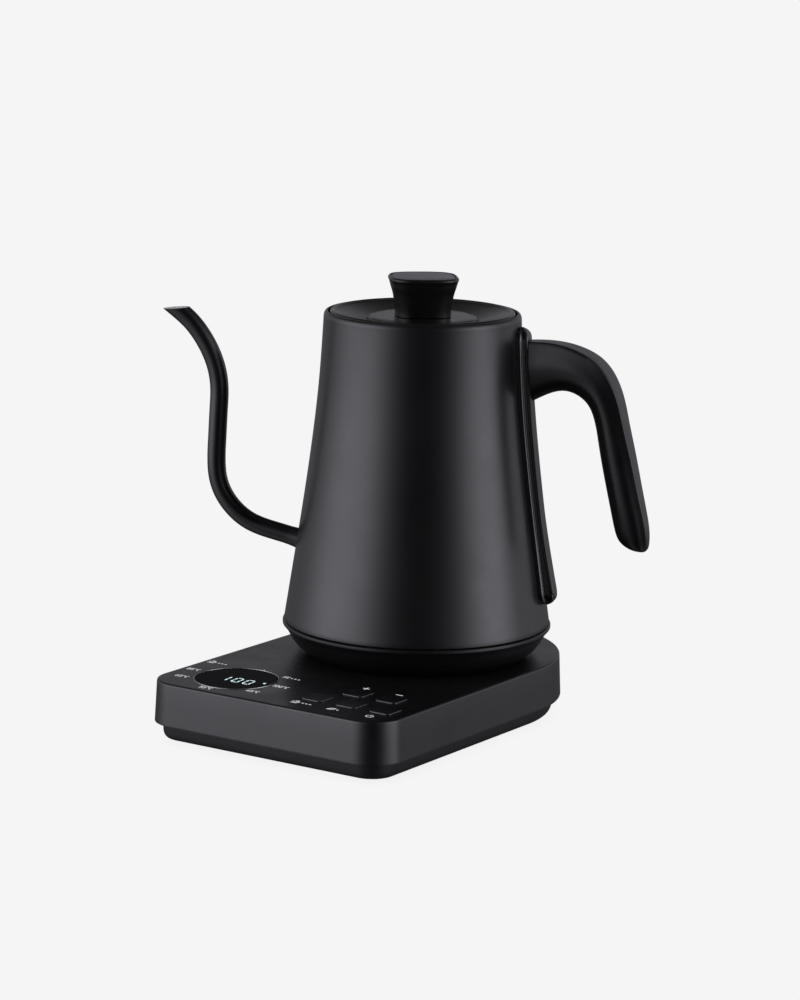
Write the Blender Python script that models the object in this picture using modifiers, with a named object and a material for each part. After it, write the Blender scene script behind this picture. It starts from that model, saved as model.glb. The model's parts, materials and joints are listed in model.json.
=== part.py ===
"""Electric gooseneck kettle on a temperature-control power base.

Metres, +Z up, feet on z = 0. The base lies square to the axes with its keys to the front (-Y).
The kettle stands on the base turned by KETTLE_TURN about its own axis, handle at its local +X
and spout at its local -X. Dimensions are in millimetres and scaled by MM. Every piece is its own
object, hung from the frame of the assembly it belongs to.
"""

import math

import bmesh
import bpy
import numpy as np
from mathutils import Matrix, Vector

MM = 0.001

# ---- driving dimensions (mm, degrees) ----
GAP = 0.3  # clearance between neighbouring pieces
FOOT_H = 1.6  # rubber foot below the base
BASE_W, BASE_R = 141.5, 16.8  # width, radius of the two front corners
AXIS_TO_FRONT = 134.2  # kettle axis to the front edge of the base
BACK_CENTRE = 4.5  # centre of the half-round back, behind the kettle axis
AXIS_TO_BACK = BACK_CENTRE + BASE_W / 2
BASE_LEFT, BASE_FRONT = -BASE_W / 2, -AXIS_TO_FRONT
BASE_TOP = FOOT_H + 29.6
BASE_SPLIT = FOOT_H + 8.2  # lower edge of the top cover
BASE_FLARE = 0.95  # how far the sides lean out towards the split
BASE_WALL = 2.2
SEAT_R, SEAT_DEPTH = 58.2, 0.8
SEAT_Z = BASE_TOP - SEAT_DEPTH
KETTLE_TURN = 20.0
LID_TURN = 21.0

BODY_SHAPE = (  # height above the base underside, outer radius
    (46.1, 67.35),
    (76.0, 62.9),
    (107.0, 58.4),
    (138.0, 54.4),
    (168.0, 51.4),
    (200.6, 49.55),
)
BODY_BOTTOM = FOOT_H + BODY_SHAPE[0][0]
SHOULDER_Z = FOOT_H + BODY_SHAPE[-1][0]
BODY_WALL = 1.0
RIM_TOP = FOOT_H + 203.5
RIM_R = 47.35  # inside of the rolled rim
MOUTH_R = 43.6
LEDGE_Z = FOOT_H + 198.5  # ledge the lid rests on
COVER_R = 68.0
COVER_FOOT_R = 56.4
FLOOR_Z = FOOT_H + 52.0  # inside face of the water chamber floor
FLOOR_T = 1.2

SPOUT_R, SPOUT_WALL = 4.7, 0.8
SPOUT_FLARE, FLARE_REACH = 0.28, 13.0  # extra share of the radius at the root, its length along x
SPOUT_PATH = (  # distance from the axis, height above the base underside
    (56.0, 81.6), (64.5, 83.8), (73.3, 85.9), (89.9, 91.1), (98.0, 97.4), (103.3, 104.7),
    (106.0, 112.0), (106.9, 120.0), (106.6, 134.0), (106.0, 148.0), (105.7, 157.0), (106.3, 164.0),
    (108.2, 171.5), (111.3, 178.6), (115.2, 185.0), (120.6, 191.6), (127.4, 197.4), (135.0, 203.0),
)
SPOUT_PORT = ((50.0, 80.2), (72.0, 85.6))  # line of the hole through the body, same columns
SPOUT_LIP_R, SPOUT_LIP_Z = 128.6, FOOT_H + 198.6  # a point on the plane that trims the lip
SPOUT_LIP_TILT = 5.8

RAIL_TOP, RAIL_BOTTOM = FOOT_H + 198.4, FOOT_H + 58.4
RAIL_HALF, RAIL_OUT = 6.8, 5.1  # half width, how far it stands off the body
RAIL_END, RAIL_EDGE = 6.5, 0.7  # length of the rounded ends, bevel of the outer edges
RAIL_COVER_HALF, RAIL_COVER_PROUD = 5.2, 0.25
BRACKET_TOP, BRACKET_BOTTOM = FOOT_H + 190.0, FOOT_H + 80.0
GRIP_SCREW_Z = (FOOT_H + 184.0, FOOT_H + 171.0)
GRIP_SCREW_LENGTH = 14.0
GRIP_STATIONS = (  # outer point r, z, inner point r, z, half width, half width of the flat back
    (55.5, 191.8, 57.4, 161.6, 6.3, 4.6),
    (62.5, 192.0, 62.0, 164.1, 7.2, 5.2),
    (72.0, 191.2, 68.4, 166.8, 8.3, 6.4),
    (82.5, 188.2, 75.0, 167.4, 9.4, 7.8),
    (91.4, 182.8, 81.3, 165.0, 10.0, 8.8),
    (97.7, 174.8, 86.3, 160.0, 10.2, 8.8),
    (101.7, 165.7, 89.0, 153.2, 9.9, 8.3),
    (105.3, 152.0, 90.9, 144.2, 9.5, 7.4),
    (108.6, 139.0, 92.9, 133.6, 9.1, 6.6),
    (112.0, 124.5, 95.6, 121.0, 8.6, 5.8),
    (115.3, 110.5, 98.4, 108.6, 8.0, 5.0),
    (117.4, 100.4, 100.6, 99.4, 7.2, 4.2),
    (117.9, 95.0, 102.6, 94.3, 6.4, 3.6),
    (117.8, 91.5, 105.8, 91.2, 5.2, 2.8),
    (117.1, 89.6, 109.6, 89.4, 3.7, 1.8),
    (115.8, 88.8, 112.4, 88.8, 1.8, 0.8),
)

LID_RING_R = 46.45
LID_TOP = FOOT_H + 204.1
LID_DISC_Z = FOOT_H + 201.5
LID_DISC_R = 27.7
SKIRT_OUT, SKIRT_IN, SKIRT_Z = 43.15, 41.5, LEDGE_Z - 7.6
KNOB_TOP = FOOT_H + 221.4
KNOB_FOOT = LID_DISC_Z + 0.1 + GAP
KNOB_W, KNOB_DEPTH = 34.6, 33.0
KNOB_PLATE = 0.90  # share of the knob's width taken by the plate in its top
KNOB_SHAPE = (  # depth below the knob's top, share of its full width
    (0.0, 0.965),
    (0.7, 1.0),
    (2.2, 0.985),
    (4.6, 0.945),
    (8.0, 0.885),
    (12.0, 0.838),
    (16.0, 0.806),
    (19.2, 0.797),
)

DISPLAY_AT, DISPLAY_R = (BASE_LEFT + 34.9, BASE_FRONT + 29.5), 20.6
KEY_SIZE, KEY_R, KEY_PROUD, KEY_TRAVEL = 12.4, 2.4, 0.6, 0.8
KEY_AT = {  # from the front-left corner of the base
    "cup": (88.2, 23.4),
    "leaf": (108.1, 23.4),
    "power": (127.6, 23.4),
    "plus": (98.7, 42.4),
    "minus": (118.2, 42.4),
}
KEYS = {name: (BASE_LEFT + x, BASE_FRONT + y) for name, (x, y) in KEY_AT.items()}
STEM_FOOT = BASE_TOP - 6.9  # lower end of the key stems
BOARD_T = 1.6
BOARD_Z, POWER_Z = BASE_TOP - 11.6, FOOT_H + 4.4  # undersides of the two boards
CORD_R = 3.2
CORD_EXIT = (0.0, AXIS_TO_BACK, FOOT_H + 16.6)


# ---- scene, collections, frames ----
for item in list(bpy.data.objects):
    bpy.data.objects.remove(item, do_unlink=True)
for old_mesh in list(bpy.data.meshes):
    bpy.data.meshes.remove(old_mesh)

PARTS = bpy.data.collections.new("GooseneckKettle")
CUTTERS = bpy.data.collections.new("Cutters")
for group in (PARTS, CUTTERS):
    bpy.context.scene.collection.children.link(group)
CUTTERS.hide_render = True


def frame(name, parent=None, at=(0, 0, 0), turn=0.0):
    obj = bpy.data.objects.new(name, None)
    obj.empty_display_size = 0.02
    PARTS.objects.link(obj)
    obj.parent = parent
    obj.location = Vector(at) * MM
    obj.rotation_euler = (0, 0, math.radians(turn))
    return obj


ROOT = frame("kettle_set")
BASE = frame("base_frame", ROOT)
KETTLE = frame("kettle_frame", ROOT, turn=KETTLE_TURN)
LID = frame("lid_frame", KETTLE, turn=LID_TURN)


# ---- materials ----
LOOKS = {
    "coat": dict(colour=(0.018, 0.018, 0.020), roughness=0.42, metallic=0.3),
    "steel": dict(colour=(0.62, 0.61, 0.59), roughness=0.28, metallic=1.0),
    "black_plastic": dict(colour=(0.012, 0.012, 0.013), roughness=0.38),
    "satin_plastic": dict(colour=(0.022, 0.022, 0.024), roughness=0.45),
    "gloss_plastic": dict(colour=(0.006, 0.006, 0.007), roughness=0.12),
    "rubber": dict(colour=(0.02, 0.02, 0.02), roughness=0.8),
    "silicone": dict(colour=(0.55, 0.56, 0.56), roughness=0.55),
    "board": dict(colour=(0.02, 0.16, 0.06), roughness=0.5),
    "component": dict(colour=(0.03, 0.03, 0.035), roughness=0.5),
    "relay": dict(colour=(0.05, 0.12, 0.35), roughness=0.4),
    "brass": dict(colour=(0.72, 0.53, 0.22), roughness=0.3, metallic=1.0),
    "zinc": dict(colour=(0.55, 0.56, 0.58), roughness=0.35, metallic=1.0),
    "ivory": dict(colour=(0.75, 0.72, 0.62), roughness=0.5),
}


def material(name, colour, roughness, metallic=0.0):
    made = bpy.data.materials.new(name)
    made.use_nodes = True
    shader = made.node_tree.nodes["Principled BSDF"]
    shader.inputs["Base Color"].default_value = (*colour, 1)
    shader.inputs["Roughness"].default_value = roughness
    shader.inputs["Metallic"].default_value = metallic
    made.diffuse_color = (*colour, 1)
    return made


# ---- modelling tools ----
def finish(obj, parent, look):
    """Hang a piece from its frame, with its own material and edges sharp beyond 32 degrees."""
    obj.parent = parent
    obj.data.materials.append(material(obj.name + "_mat", **LOOKS[look]))
    obj.data.shade_smooth()
    obj.data.set_sharp_from_angle(angle=math.radians(32))
    PARTS.objects.link(obj)
    return obj


def cut(target, tool, operation="DIFFERENCE"):
    """Apply a hidden helper, hung from the target's frame, to the target as a boolean."""
    tool.parent = target.parent
    tool.hide_render = True
    tool.display_type = "WIRE"
    CUTTERS.objects.link(tool)
    modifier = target.modifiers.new(tool.name, "BOOLEAN")
    modifier.operation = operation
    modifier.solver = "EXACT"
    modifier.object = tool


def add(target, tool):
    cut(target, tool, "UNION")


def face_outward(shape):
    bmesh.ops.recalc_face_normals(shape, faces=shape.faces)
    if shape.calc_volume(signed=True) < 0:
        bmesh.ops.reverse_faces(shape, faces=shape.faces)


def mesh_object(name, shape, at=(0, 0, 0)):
    mesh = bpy.data.meshes.new(name)
    shape.to_mesh(mesh)
    shape.free()
    obj = bpy.data.objects.new(name, mesh)
    obj.location = Vector(at) * MM
    return obj


def baked(obj):
    """The object's evaluated shape as its own mesh, welded."""
    bpy.context.scene.collection.objects.link(obj)
    bpy.context.view_layer.update()
    graph = bpy.context.evaluated_depsgraph_get()
    mesh = bpy.data.meshes.new_from_object(obj.evaluated_get(graph))
    name = obj.name
    bpy.data.objects.remove(obj, do_unlink=True)
    shape = bmesh.new()
    shape.from_mesh(mesh)
    bmesh.ops.remove_doubles(shape, verts=shape.verts, dist=1e-6)
    face_outward(shape)
    shape.to_mesh(mesh)
    shape.free()
    mesh.name = name
    return bpy.data.objects.new(name, mesh)


def turned(name, profile, steps, at=(0, 0, 0)):
    """A profile (radius, z) turned about z; it is closed unless both its ends are on the axis."""
    mesh = bpy.data.meshes.new(name)
    points = [(radius * MM, 0, z * MM) for radius, z in profile]
    edges = [(i, i + 1) for i in range(len(points) - 1)]
    if profile[0][0] > 0 or profile[-1][0] > 0:
        edges.append((len(points) - 1, 0))
    mesh.from_pydata(points, edges, [])
    obj = bpy.data.objects.new(name, mesh)
    turn = obj.modifiers.new("turn", "SCREW")
    turn.steps = turn.render_steps = steps
    turn.angle = 2 * math.pi
    turn.axis = "Z"
    turn.use_merge_vertices = True
    turn.merge_threshold = 1e-5
    turn.use_smooth_shade = True
    obj = baked(obj)
    obj.location = Vector(at) * MM
    return obj


def lofted(name, rings):
    """A skin over rings that each have the same number of points, capped at both ends."""
    shape = bmesh.new()
    rows = [[shape.verts.new(Vector(point) * MM) for point in ring] for ring in rings]
    count = len(rows[0])
    for low, high in zip(rows, rows[1:]):
        for i in range(count):
            j = (i + 1) % count
            shape.faces.new((low[i], low[j], high[j], high[i]))
    shape.faces.new(rows[0][::-1])
    shape.faces.new(rows[-1])
    face_outward(shape)
    return mesh_object(name, shape)


def cylinder(name, radius, bottom, top, steps, at=(0, 0)):
    shape = bmesh.new()
    bmesh.ops.create_cone(
        shape,
        cap_ends=True,
        segments=steps,
        radius1=radius * MM,
        radius2=radius * MM,
        depth=(top - bottom) * MM,
    )
    return mesh_object(name, shape, (*at, (bottom + top) / 2))


def block(name, size, centre):
    shape = bmesh.new()
    scale = Matrix.Diagonal((*(side * MM for side in size), 1))
    bmesh.ops.create_cube(shape, size=1.0, matrix=scale)
    return mesh_object(name, shape, centre)


def tube(name, points, radius, sizes=None, round_steps=2):
    """A round bar along a line of points, capped flat; `sizes` are shares of the radius."""
    curve = bpy.data.curves.new(name, "CURVE")
    curve.dimensions = "3D"
    curve.bevel_depth = radius * MM
    curve.bevel_resolution = round_steps
    curve.use_fill_caps = True
    spline = curve.splines.new("POLY")
    spline.points.add(len(points) - 1)
    for i, point in enumerate(points):
        spline.points[i].co = (*(Vector(point) * MM), 1)
        spline.points[i].radius = sizes[i] if sizes else 1.0
    return baked(bpy.data.objects.new(name, curve))


def laid(obj, degrees, axis, at):
    """Turn the mesh about an axis of its object and place the object."""
    obj.data.transform(Matrix.Rotation(math.radians(degrees), 4, axis))
    obj.location = Vector(at) * MM
    return obj


def pan_screw(name, head_r, head_h, shank_r, length, at, parent):
    """A pan-head screw whose head's outer face is at `at`, its shank going up from there."""
    profile = [
        (0, length),
        (shank_r, length - shank_r * 0.5),
        (shank_r, head_h),
        (head_r, head_h),
        (head_r * 0.92, 0.0),
        (0, 0.0),
    ]
    finish(turned(name, profile, 8, at), parent, "zinc")


def smooth_line(knots, count):
    """Points spread evenly along a natural cubic spline through the knots.

    The run along the line is measured over the knots' first three columns at most.
    """
    knots = np.array(knots, float)
    steps = np.linalg.norm(np.diff(knots[:, :3], axis=0), axis=1)
    run = np.concatenate([[0], np.cumsum(steps)])
    total = len(run)
    gaps = np.diff(run)
    system = np.zeros((total, total))
    right = np.zeros((total, knots.shape[1]))
    system[0, 0] = system[-1, -1] = 1
    for i in range(1, total - 1):
        system[i, i - 1 : i + 2] = gaps[i - 1], 2 * (gaps[i - 1] + gaps[i]), gaps[i]
        slope_after = (knots[i + 1] - knots[i]) / gaps[i]
        slope_before = (knots[i] - knots[i - 1]) / gaps[i - 1]
        right[i] = 6 * (slope_after - slope_before)
    bend = np.linalg.solve(system, right)  # second derivatives at the knots
    points = []
    for place in np.linspace(0, run[-1], count):
        i = min(int(np.searchsorted(run, place, "right")) - 1, total - 2)
        gap, before, after = gaps[i], place - run[i], run[i + 1] - place
        points.append(
            bend[i] * after**3 / (6 * gap)
            + bend[i + 1] * before**3 / (6 * gap)
            + (knots[i] / gap - bend[i] * gap / 6) * after
            + (knots[i + 1] / gap - bend[i + 1] * gap / 6) * before
        )
    return np.array(points)


def arc_points(radius, degrees):
    return [(radius * math.cos(a), radius * math.sin(a)) for a in np.radians(degrees)]


def levelled(outline, z):
    return [(x, y, z) for x, y in outline]


def rounded_square(side, radius, z, corner_steps, centre=(0, 0)):
    """A level square ring with round corners, anticlockwise."""
    ring = []
    reach = side / 2 - radius
    for x_side, y_side, start in ((1, 1, 0), (-1, 1, 90), (-1, -1, 180), (1, -1, 270)):
        for i in range(corner_steps + 1):
            angle = math.radians(start + 90 * i / corner_steps)
            x = centre[0] + x_side * reach + radius * math.cos(angle)
            y = centre[1] + y_side * reach + radius * math.sin(angle)
            ring.append((x, y, z))
    return ring


def squircle(width, depth, power, steps):
    outline = []
    for i in range(steps):
        angle = 2 * math.pi * i / steps
        cos, sin = math.cos(angle), math.sin(angle)
        x = width / 2 * math.copysign(abs(cos) ** (2 / power), cos)
        y = depth / 2 * math.copysign(abs(sin) ** (2 / power), sin)
        outline.append((x, y))
    return outline


# ---- kettle: body, floor, spout ----
BODY_LINE = smooth_line(BODY_SHAPE, 200)
SPOUT_INNER_R = SPOUT_R - SPOUT_WALL
STUDS = arc_points(44.0, (60, 180, 300))
SENSOR_AT, CUTOUT_AT = (15.0, -17.0), (-19.0, 10.0)


def body_radius(z):
    """Outer radius of the body at height z above the table."""
    return float(np.interp(z - FOOT_H, BODY_LINE[:, 0], BODY_LINE[:, 1]))


def body_side(offset):
    """The body's outer profile running down, moved out by `offset`."""
    return [(body_radius(z) + offset, z) for z in np.linspace(SHOULDER_Z, BODY_BOTTOM, 10)]


def spout_points(line):
    return [(-radius, 0, z + FOOT_H) for radius, z in line]


def kettle_body():
    shoulder_in = RIM_R + 0.5
    shoulder_w = body_radius(SHOULDER_Z) - shoulder_in
    shoulder_h = RIM_TOP - SHOULDER_Z
    shoulder = [
        (shoulder_in + shoulder_w * math.sin(a), SHOULDER_Z + shoulder_h * math.cos(a))
        for a in np.radians((0, 28, 56))
    ]
    inside = [
        (body_radius(z) - BODY_WALL, z) for z in np.linspace(BODY_BOTTOM, LEDGE_Z - 2.0, 7)
    ]
    ledge = [
        (body_radius(LEDGE_Z) - BODY_WALL - 0.9, LEDGE_Z - 1.2),
        (MOUTH_R + 0.9, LEDGE_Z - 1.1),
        (MOUTH_R + 0.9, LEDGE_Z - 3.2),
        (MOUTH_R, LEDGE_Z - 3.2),
        (MOUTH_R, LEDGE_Z - 0.6),
        (MOUTH_R + 0.6, LEDGE_Z),
        (RIM_R, LEDGE_Z),
    ]
    profile = [(RIM_R, RIM_TOP - 0.5)] + shoulder + body_side(0) + inside + ledge
    body = finish(turned("kettle_body", profile, 34), KETTLE, "coat")
    port = spout_points(SPOUT_PORT)
    cut(body, tube("cut_spout_port", port, SPOUT_INNER_R, round_steps=3))


def chamber_floor():
    """Pressed steel floor with a turned-down flange and three hollow studs underneath."""
    flange_r = body_radius(BODY_BOTTOM + 2) - BODY_WALL - 0.5
    profile = [
        (0, FLOOR_Z),
        (flange_r - 3.2, FLOOR_Z),
        (flange_r - 1.0, FLOOR_Z - 0.6),
        (flange_r - 0.1, FLOOR_Z - 2.4),
        (flange_r, BODY_BOTTOM + 0.8),
        (flange_r - 1.0, BODY_BOTTOM + 0.8),
        (flange_r - 1.2, FLOOR_Z - 2.6),
        (flange_r - 3.4, FLOOR_Z - FLOOR_T),
        (0, FLOOR_Z - FLOOR_T),
    ]
    floor = finish(turned("chamber_floor", profile, 26), KETTLE, "steel")
    cut(floor, cylinder("cut_ntc_floor", 4.0, FLOOR_Z - 6, FLOOR_Z + 6, 16, SENSOR_AT))
    for i, at in enumerate(STUDS):
        add(floor, cylinder(f"add_stud_{i}", 3.4, FLOOR_Z - 12.5, FLOOR_Z - 0.8, 10, at))
        cut(floor, cylinder(f"cut_stud_{i}", 1.9, FLOOR_Z - 14, FLOOR_Z - 3.0, 10, at))


def spout():
    line = smooth_line(spout_points(SPOUT_PATH), 21)
    root_x = -SPOUT_PATH[0][0]
    sizes = [
        1.0 + SPOUT_FLARE * max(0.0, 1 - abs(point[0] - root_x) / FLARE_REACH) ** 1.5
        for point in line
    ]
    pipe = finish(tube("spout", line, SPOUT_R, sizes, round_steps=3), KETTLE, "coat")

    # the tip is trimmed by the tilted underside of a block
    lip = block("cut_spout_lip", (60, 40, 40), (-SPOUT_LIP_R, 0, SPOUT_LIP_Z))
    lip.data.transform(Matrix.Translation(Vector((0, 0, 20)) * MM))
    lip.rotation_euler = (0, -math.radians(SPOUT_LIP_TILT), 0)
    cut(pipe, lip)

    envelope = [(0, RIM_TOP)] + body_side(GAP) + [(0, BODY_BOTTOM)]
    cut(pipe, turned("cut_body_envelope", envelope, 34))

    # the bore runs on past both ends of the pipe
    ahead = line[-1] + (line[-1] - line[-2])
    bore = np.vstack([[(-38.0, 0, 76.8 + FOOT_H)], line, [ahead]])
    cut(pipe, tube("cut_spout_bore", bore, SPOUT_INNER_R, round_steps=3))


# ---- kettle: underside ----
COVER_TOP = BODY_BOTTOM - 0.5
KETTLE_FOOT = SEAT_Z + GAP
COVER_BORE_R = 20.8
PIECE_TOP = FLOOR_Z - FLOOR_T - GAP  # top of the pieces mounted under the floor
CUP_TOP = FOOT_H + 43.2
CUP_FOOT = KETTLE_FOOT + 0.6
CONTACT_TOP = CUP_TOP - 3.7


def bottom_cover():
    profile = [
        # outside, running down
        (67.3, COVER_TOP),
        (COVER_R, COVER_TOP - 0.9),
        (COVER_R, COVER_TOP - 3.2),
        (66.9, COVER_TOP - 5.4),
        (64.6, COVER_TOP - 8.6),
        (61.6, COVER_TOP - 12.0),
        (COVER_FOOT_R, KETTLE_FOOT + 1.1),
        (COVER_FOOT_R - 1.2, KETTLE_FOOT),
        # underside to the bore, then back up the inside
        (52.0, KETTLE_FOOT),
        (50.6, KETTLE_FOOT + 1.4),
        (COVER_BORE_R, KETTLE_FOOT + 1.4),
        (COVER_BORE_R, KETTLE_FOOT + 3.4),
        (52.5, KETTLE_FOOT + 3.4),
        (59.6, COVER_TOP - 11.4),
        (63.0, COVER_TOP - 7.4),
        (64.8, COVER_TOP - 4.0),
        (65.4, COVER_TOP),
    ]
    cover = finish(turned("bottom_cover", profile, 30), KETTLE, "black_plastic")
    below, seat = KETTLE_FOOT - 2, KETTLE_FOOT + 2.4
    for i, at in enumerate(STUDS):
        cut(cover, cylinder(f"cut_cover_head_{i}", 3.5, below, seat, 12, at))
        cut(cover, cylinder(f"cut_cover_shank_{i}", 1.9, below, KETTLE_FOOT + 6, 12, at))
        pan_screw(
            f"cover_screw_{i + 1}",
            head_r=3.1,
            head_h=1.5,
            shank_r=1.5,
            length=14.0,
            at=(*at, seat + GAP - 1.8),
            parent=KETTLE,
        )


def heating_element():
    arc = levelled(arc_points(37.0, np.linspace(112, 428, 25)), PIECE_TOP - 3.4)
    finish(tube("heating_element", arc, 3.3), KETTLE, "steel")


def thermal_cutout():
    shoulder, foot = FLOOR_Z - 4.0, FLOOR_Z - 8.0
    profile = [(0, PIECE_TOP), (8.0, PIECE_TOP), (8.0, shoulder), (7.2, shoulder), (7.2, foot)]
    profile.append((0, foot))
    finish(turned("thermal_cutout", profile, 16, (*CUTOUT_AT, 0)), KETTLE, "component")


def temperature_sensor():
    """The probe through the floor and the seal round it."""
    seal = [
        (2.9, FLOOR_Z + 1.6),
        (3.7, FLOOR_Z + 1.6),
        (3.7, PIECE_TOP),
        (6.4, PIECE_TOP),
        (6.4, FLOOR_Z - 4.0),
        (2.9, FLOOR_Z - 4.0),
    ]
    finish(turned("sensor_seal", seal, 16, (*SENSOR_AT, 0)), KETTLE, "silicone")
    probe = [
        (0, FLOOR_Z + 5.0),
        (1.9, FLOOR_Z + 4.4),
        (2.6, FLOOR_Z + 3.2),
        (2.6, FLOOR_Z - 8.5),
        (0, FLOOR_Z - 8.5),
    ]
    finish(turned("temperature_sensor", probe, 14, (*SENSOR_AT, 0)), KETTLE, "steel")


def kettle_connector():
    """A cup open downwards with a pin and a ring hanging in it."""
    cup = [
        (0, CUP_TOP),
        (19.0, CUP_TOP),
        (20.3, CUP_TOP - 1.2),
        (20.3, CUP_FOOT),
        (17.2, CUP_FOOT),
        (16.4, CUP_FOOT + 1.2),
        (16.4, CUP_TOP - 3.4),
        (0, CUP_TOP - 3.4),
    ]
    finish(turned("kettle_connector", cup, 18), KETTLE, "ivory")
    pin = [
        (0, CONTACT_TOP),
        (2.4, CONTACT_TOP),
        (2.4, FOOT_H + 27.2),
        (1.5, FOOT_H + 25.9),
        (0, FOOT_H + 25.5),
    ]
    finish(turned("kettle_contact_pin", pin, 8), KETTLE, "brass")
    foot = FOOT_H + 31.8
    ring = [(9.0, CONTACT_TOP), (10.2, CONTACT_TOP), (10.2, foot), (9.0, foot)]
    finish(turned("kettle_contact_ring", ring, 18), KETTLE, "brass")


# ---- kettle: handle ----
def rail_out(z):
    """How far the rail stands off the body: a little more near its foot."""
    return RAIL_OUT + 1.9 * max(0.0, (FOOT_H + 105 - z) / 46.0) ** 1.5


def end_share(z, top, bottom, reach):
    """1 along a strip, rounding off to 0 at both ends over `reach`."""
    distance = min(top - z, z - bottom)
    if distance >= reach:
        return 1.0
    return math.sqrt(max(0.0, 1 - ((reach - distance) / reach) ** 2))


def strip_heights(top, bottom, reach, shares, levels):
    """Heights down a strip, at `shares` of the reach of each end and evenly between."""
    upper = [top - reach * share for share in shares]
    lower = [bottom + reach * share for share in shares[::-1]]
    return upper + list(np.linspace(top - reach, bottom + reach, levels)) + lower


def strip(name, top, bottom, half, low, high, reach, on_rail=True):
    """A strip at local +X between `low` and `high` off the rail's surface, or off the body's."""
    rings = []
    for z in strip_heights(top, bottom, reach, (0.0, 0.12, 0.5), 8):
        width = half * max(0.3, end_share(z, top, bottom, reach))
        surface = body_radius(z) + (rail_out(z) if on_rail else 0)
        inner, outer = surface + low, surface + high
        rings.append(
            [(inner, -width, z), (outer, -width, z), (outer, width, z), (inner, width, z)]
        )
    return lofted(name, rings)


def rail_ring(z):
    """Section of the rail: back curved round the body, front crowned, front edges bevelled."""
    half = RAIL_HALF * max(0.16, end_share(z, RAIL_TOP, RAIL_BOTTOM, RAIL_END))
    thick_share = max(0.35, end_share(z, RAIL_TOP, RAIL_BOTTOM, RAIL_END * 0.8))
    thick = (rail_out(z) - GAP) * thick_share
    out = GAP + thick
    edge = min(RAIL_EDGE, half * 0.45, thick * 0.45)
    section = (  # place across the rail, height off the body
        (-half, GAP),
        (-half, out - edge),
        (-half + edge * 0.3, out - edge * 0.3),
        (-half + edge, out),
        (0.0, out + 0.04 * half),
        (half - edge, out),
        (half - edge * 0.3, out - edge * 0.3),
        (half, out - edge),
        (half, GAP),
        (0.0, GAP),
    )
    ring = []
    for y, height in section:
        x = body_radius(z) + height
        if height == GAP:
            x = math.sqrt(x**2 - y**2)
        ring.append((x, y, z))
    return ring


def handle_rail():
    shares = (0.0, 0.04, 0.15, 0.35, 0.65)
    heights = strip_heights(RAIL_TOP, RAIL_BOTTOM, RAIL_END, shares, 9)
    rail = lofted("handle_rail", [rail_ring(z) for z in heights])
    finish(rail, KETTLE, "black_plastic")
    pocket = strip(
        "cut_rail_pocket",
        top=RAIL_TOP - 7.3,
        bottom=RAIL_BOTTOM + 3.2,
        half=RAIL_COVER_HALF + 0.45,
        low=-1.5,
        high=4.0,
        reach=4.8,
    )
    cut(rail, pocket)
    slot = strip(
        "cut_bracket_slot",
        top=BRACKET_TOP + 0.4,
        bottom=BRACKET_BOTTOM - 0.4,
        half=4.3,
        low=-3.0,
        high=2.75,
        reach=0.4,
        on_rail=False,
    )
    cut(rail, slot)
    return rail


def rail_cover():
    cover = strip(
        "rail_cover",
        top=RAIL_TOP - 7.7,
        bottom=RAIL_BOTTOM + 3.6,
        half=RAIL_COVER_HALF,
        low=-1.2,
        high=RAIL_COVER_PROUD,
        reach=4.4,
    )
    return finish(cover, KETTLE, "satin_plastic")


def handle_bracket():
    bracket = strip(
        "handle_bracket",
        top=BRACKET_TOP,
        bottom=BRACKET_BOTTOM,
        half=4.0,
        low=0.5,
        high=2.4,
        reach=0.4,
        on_rail=False,
    )
    finish(bracket, KETTLE, "steel")


def grip_ring(station):
    """A closed section from the outer point to the inner one: flat back, full sides."""
    outer_r, outer_z, inner_r, inner_z, half, flat_half = station
    outer = Vector((outer_r, 0, outer_z + FOOT_H))
    inner = Vector((inner_r, 0, inner_z + FOOT_H))
    flat = flat_half / half
    side = [  # share of the way from outer to inner point, share of the half width
        (0.0, 0.0),
        (0.0, flat),
        (0.10, flat + 0.42 * (1 - flat)),
        (0.30, 0.97),
        (0.46, 1.0),
        (0.65, 0.91),
        (0.83, 0.69),
        (0.955, 0.36),
        (1.0, 0.0),
    ]
    ring = []
    for along, wide in side + [(along, -wide) for along, wide in side[-2:0:-1]]:
        point = outer.lerp(inner, along)
        ring.append((point.x, wide * half, point.z))
    return ring


def handle_grip():
    rings = [grip_ring(station) for station in smooth_line(GRIP_STATIONS, 20)]
    # the root face follows the rail cover
    rings[0] = [
        (body_radius(z) + rail_out(z) + RAIL_COVER_PROUD + GAP, y, z) for _, y, z in rings[0]
    ]
    return finish(lofted("handle_grip", rings), KETTLE, "black_plastic")


def handle():
    """The rail, its cover, the bracket and the grip, with two screws along x into the grip."""
    targets = (handle_rail(), rail_cover(), handle_grip())
    handle_bracket()
    length = GRIP_SCREW_LENGTH
    for i, z in enumerate(GRIP_SCREW_Z):
        start = body_radius(z) + 2.8
        line = [(start - 0.4, 0, z), (start + length + 0.4, 0, z)]
        for target in targets:
            name = f"cut_grip_screw_{i}_{target.name}"
            cut(target, tube(name, line, 1.95, round_steps=3))
        profile = [(0, length), (1.5, length - 0.6), (1.5, 0.0), (0, 0.0)]
        pin = turned(f"grip_screw_{i + 1}", profile, 12)
        finish(laid(pin, 90, "Y", (start, 0, z)), KETTLE, "zinc")


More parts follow.
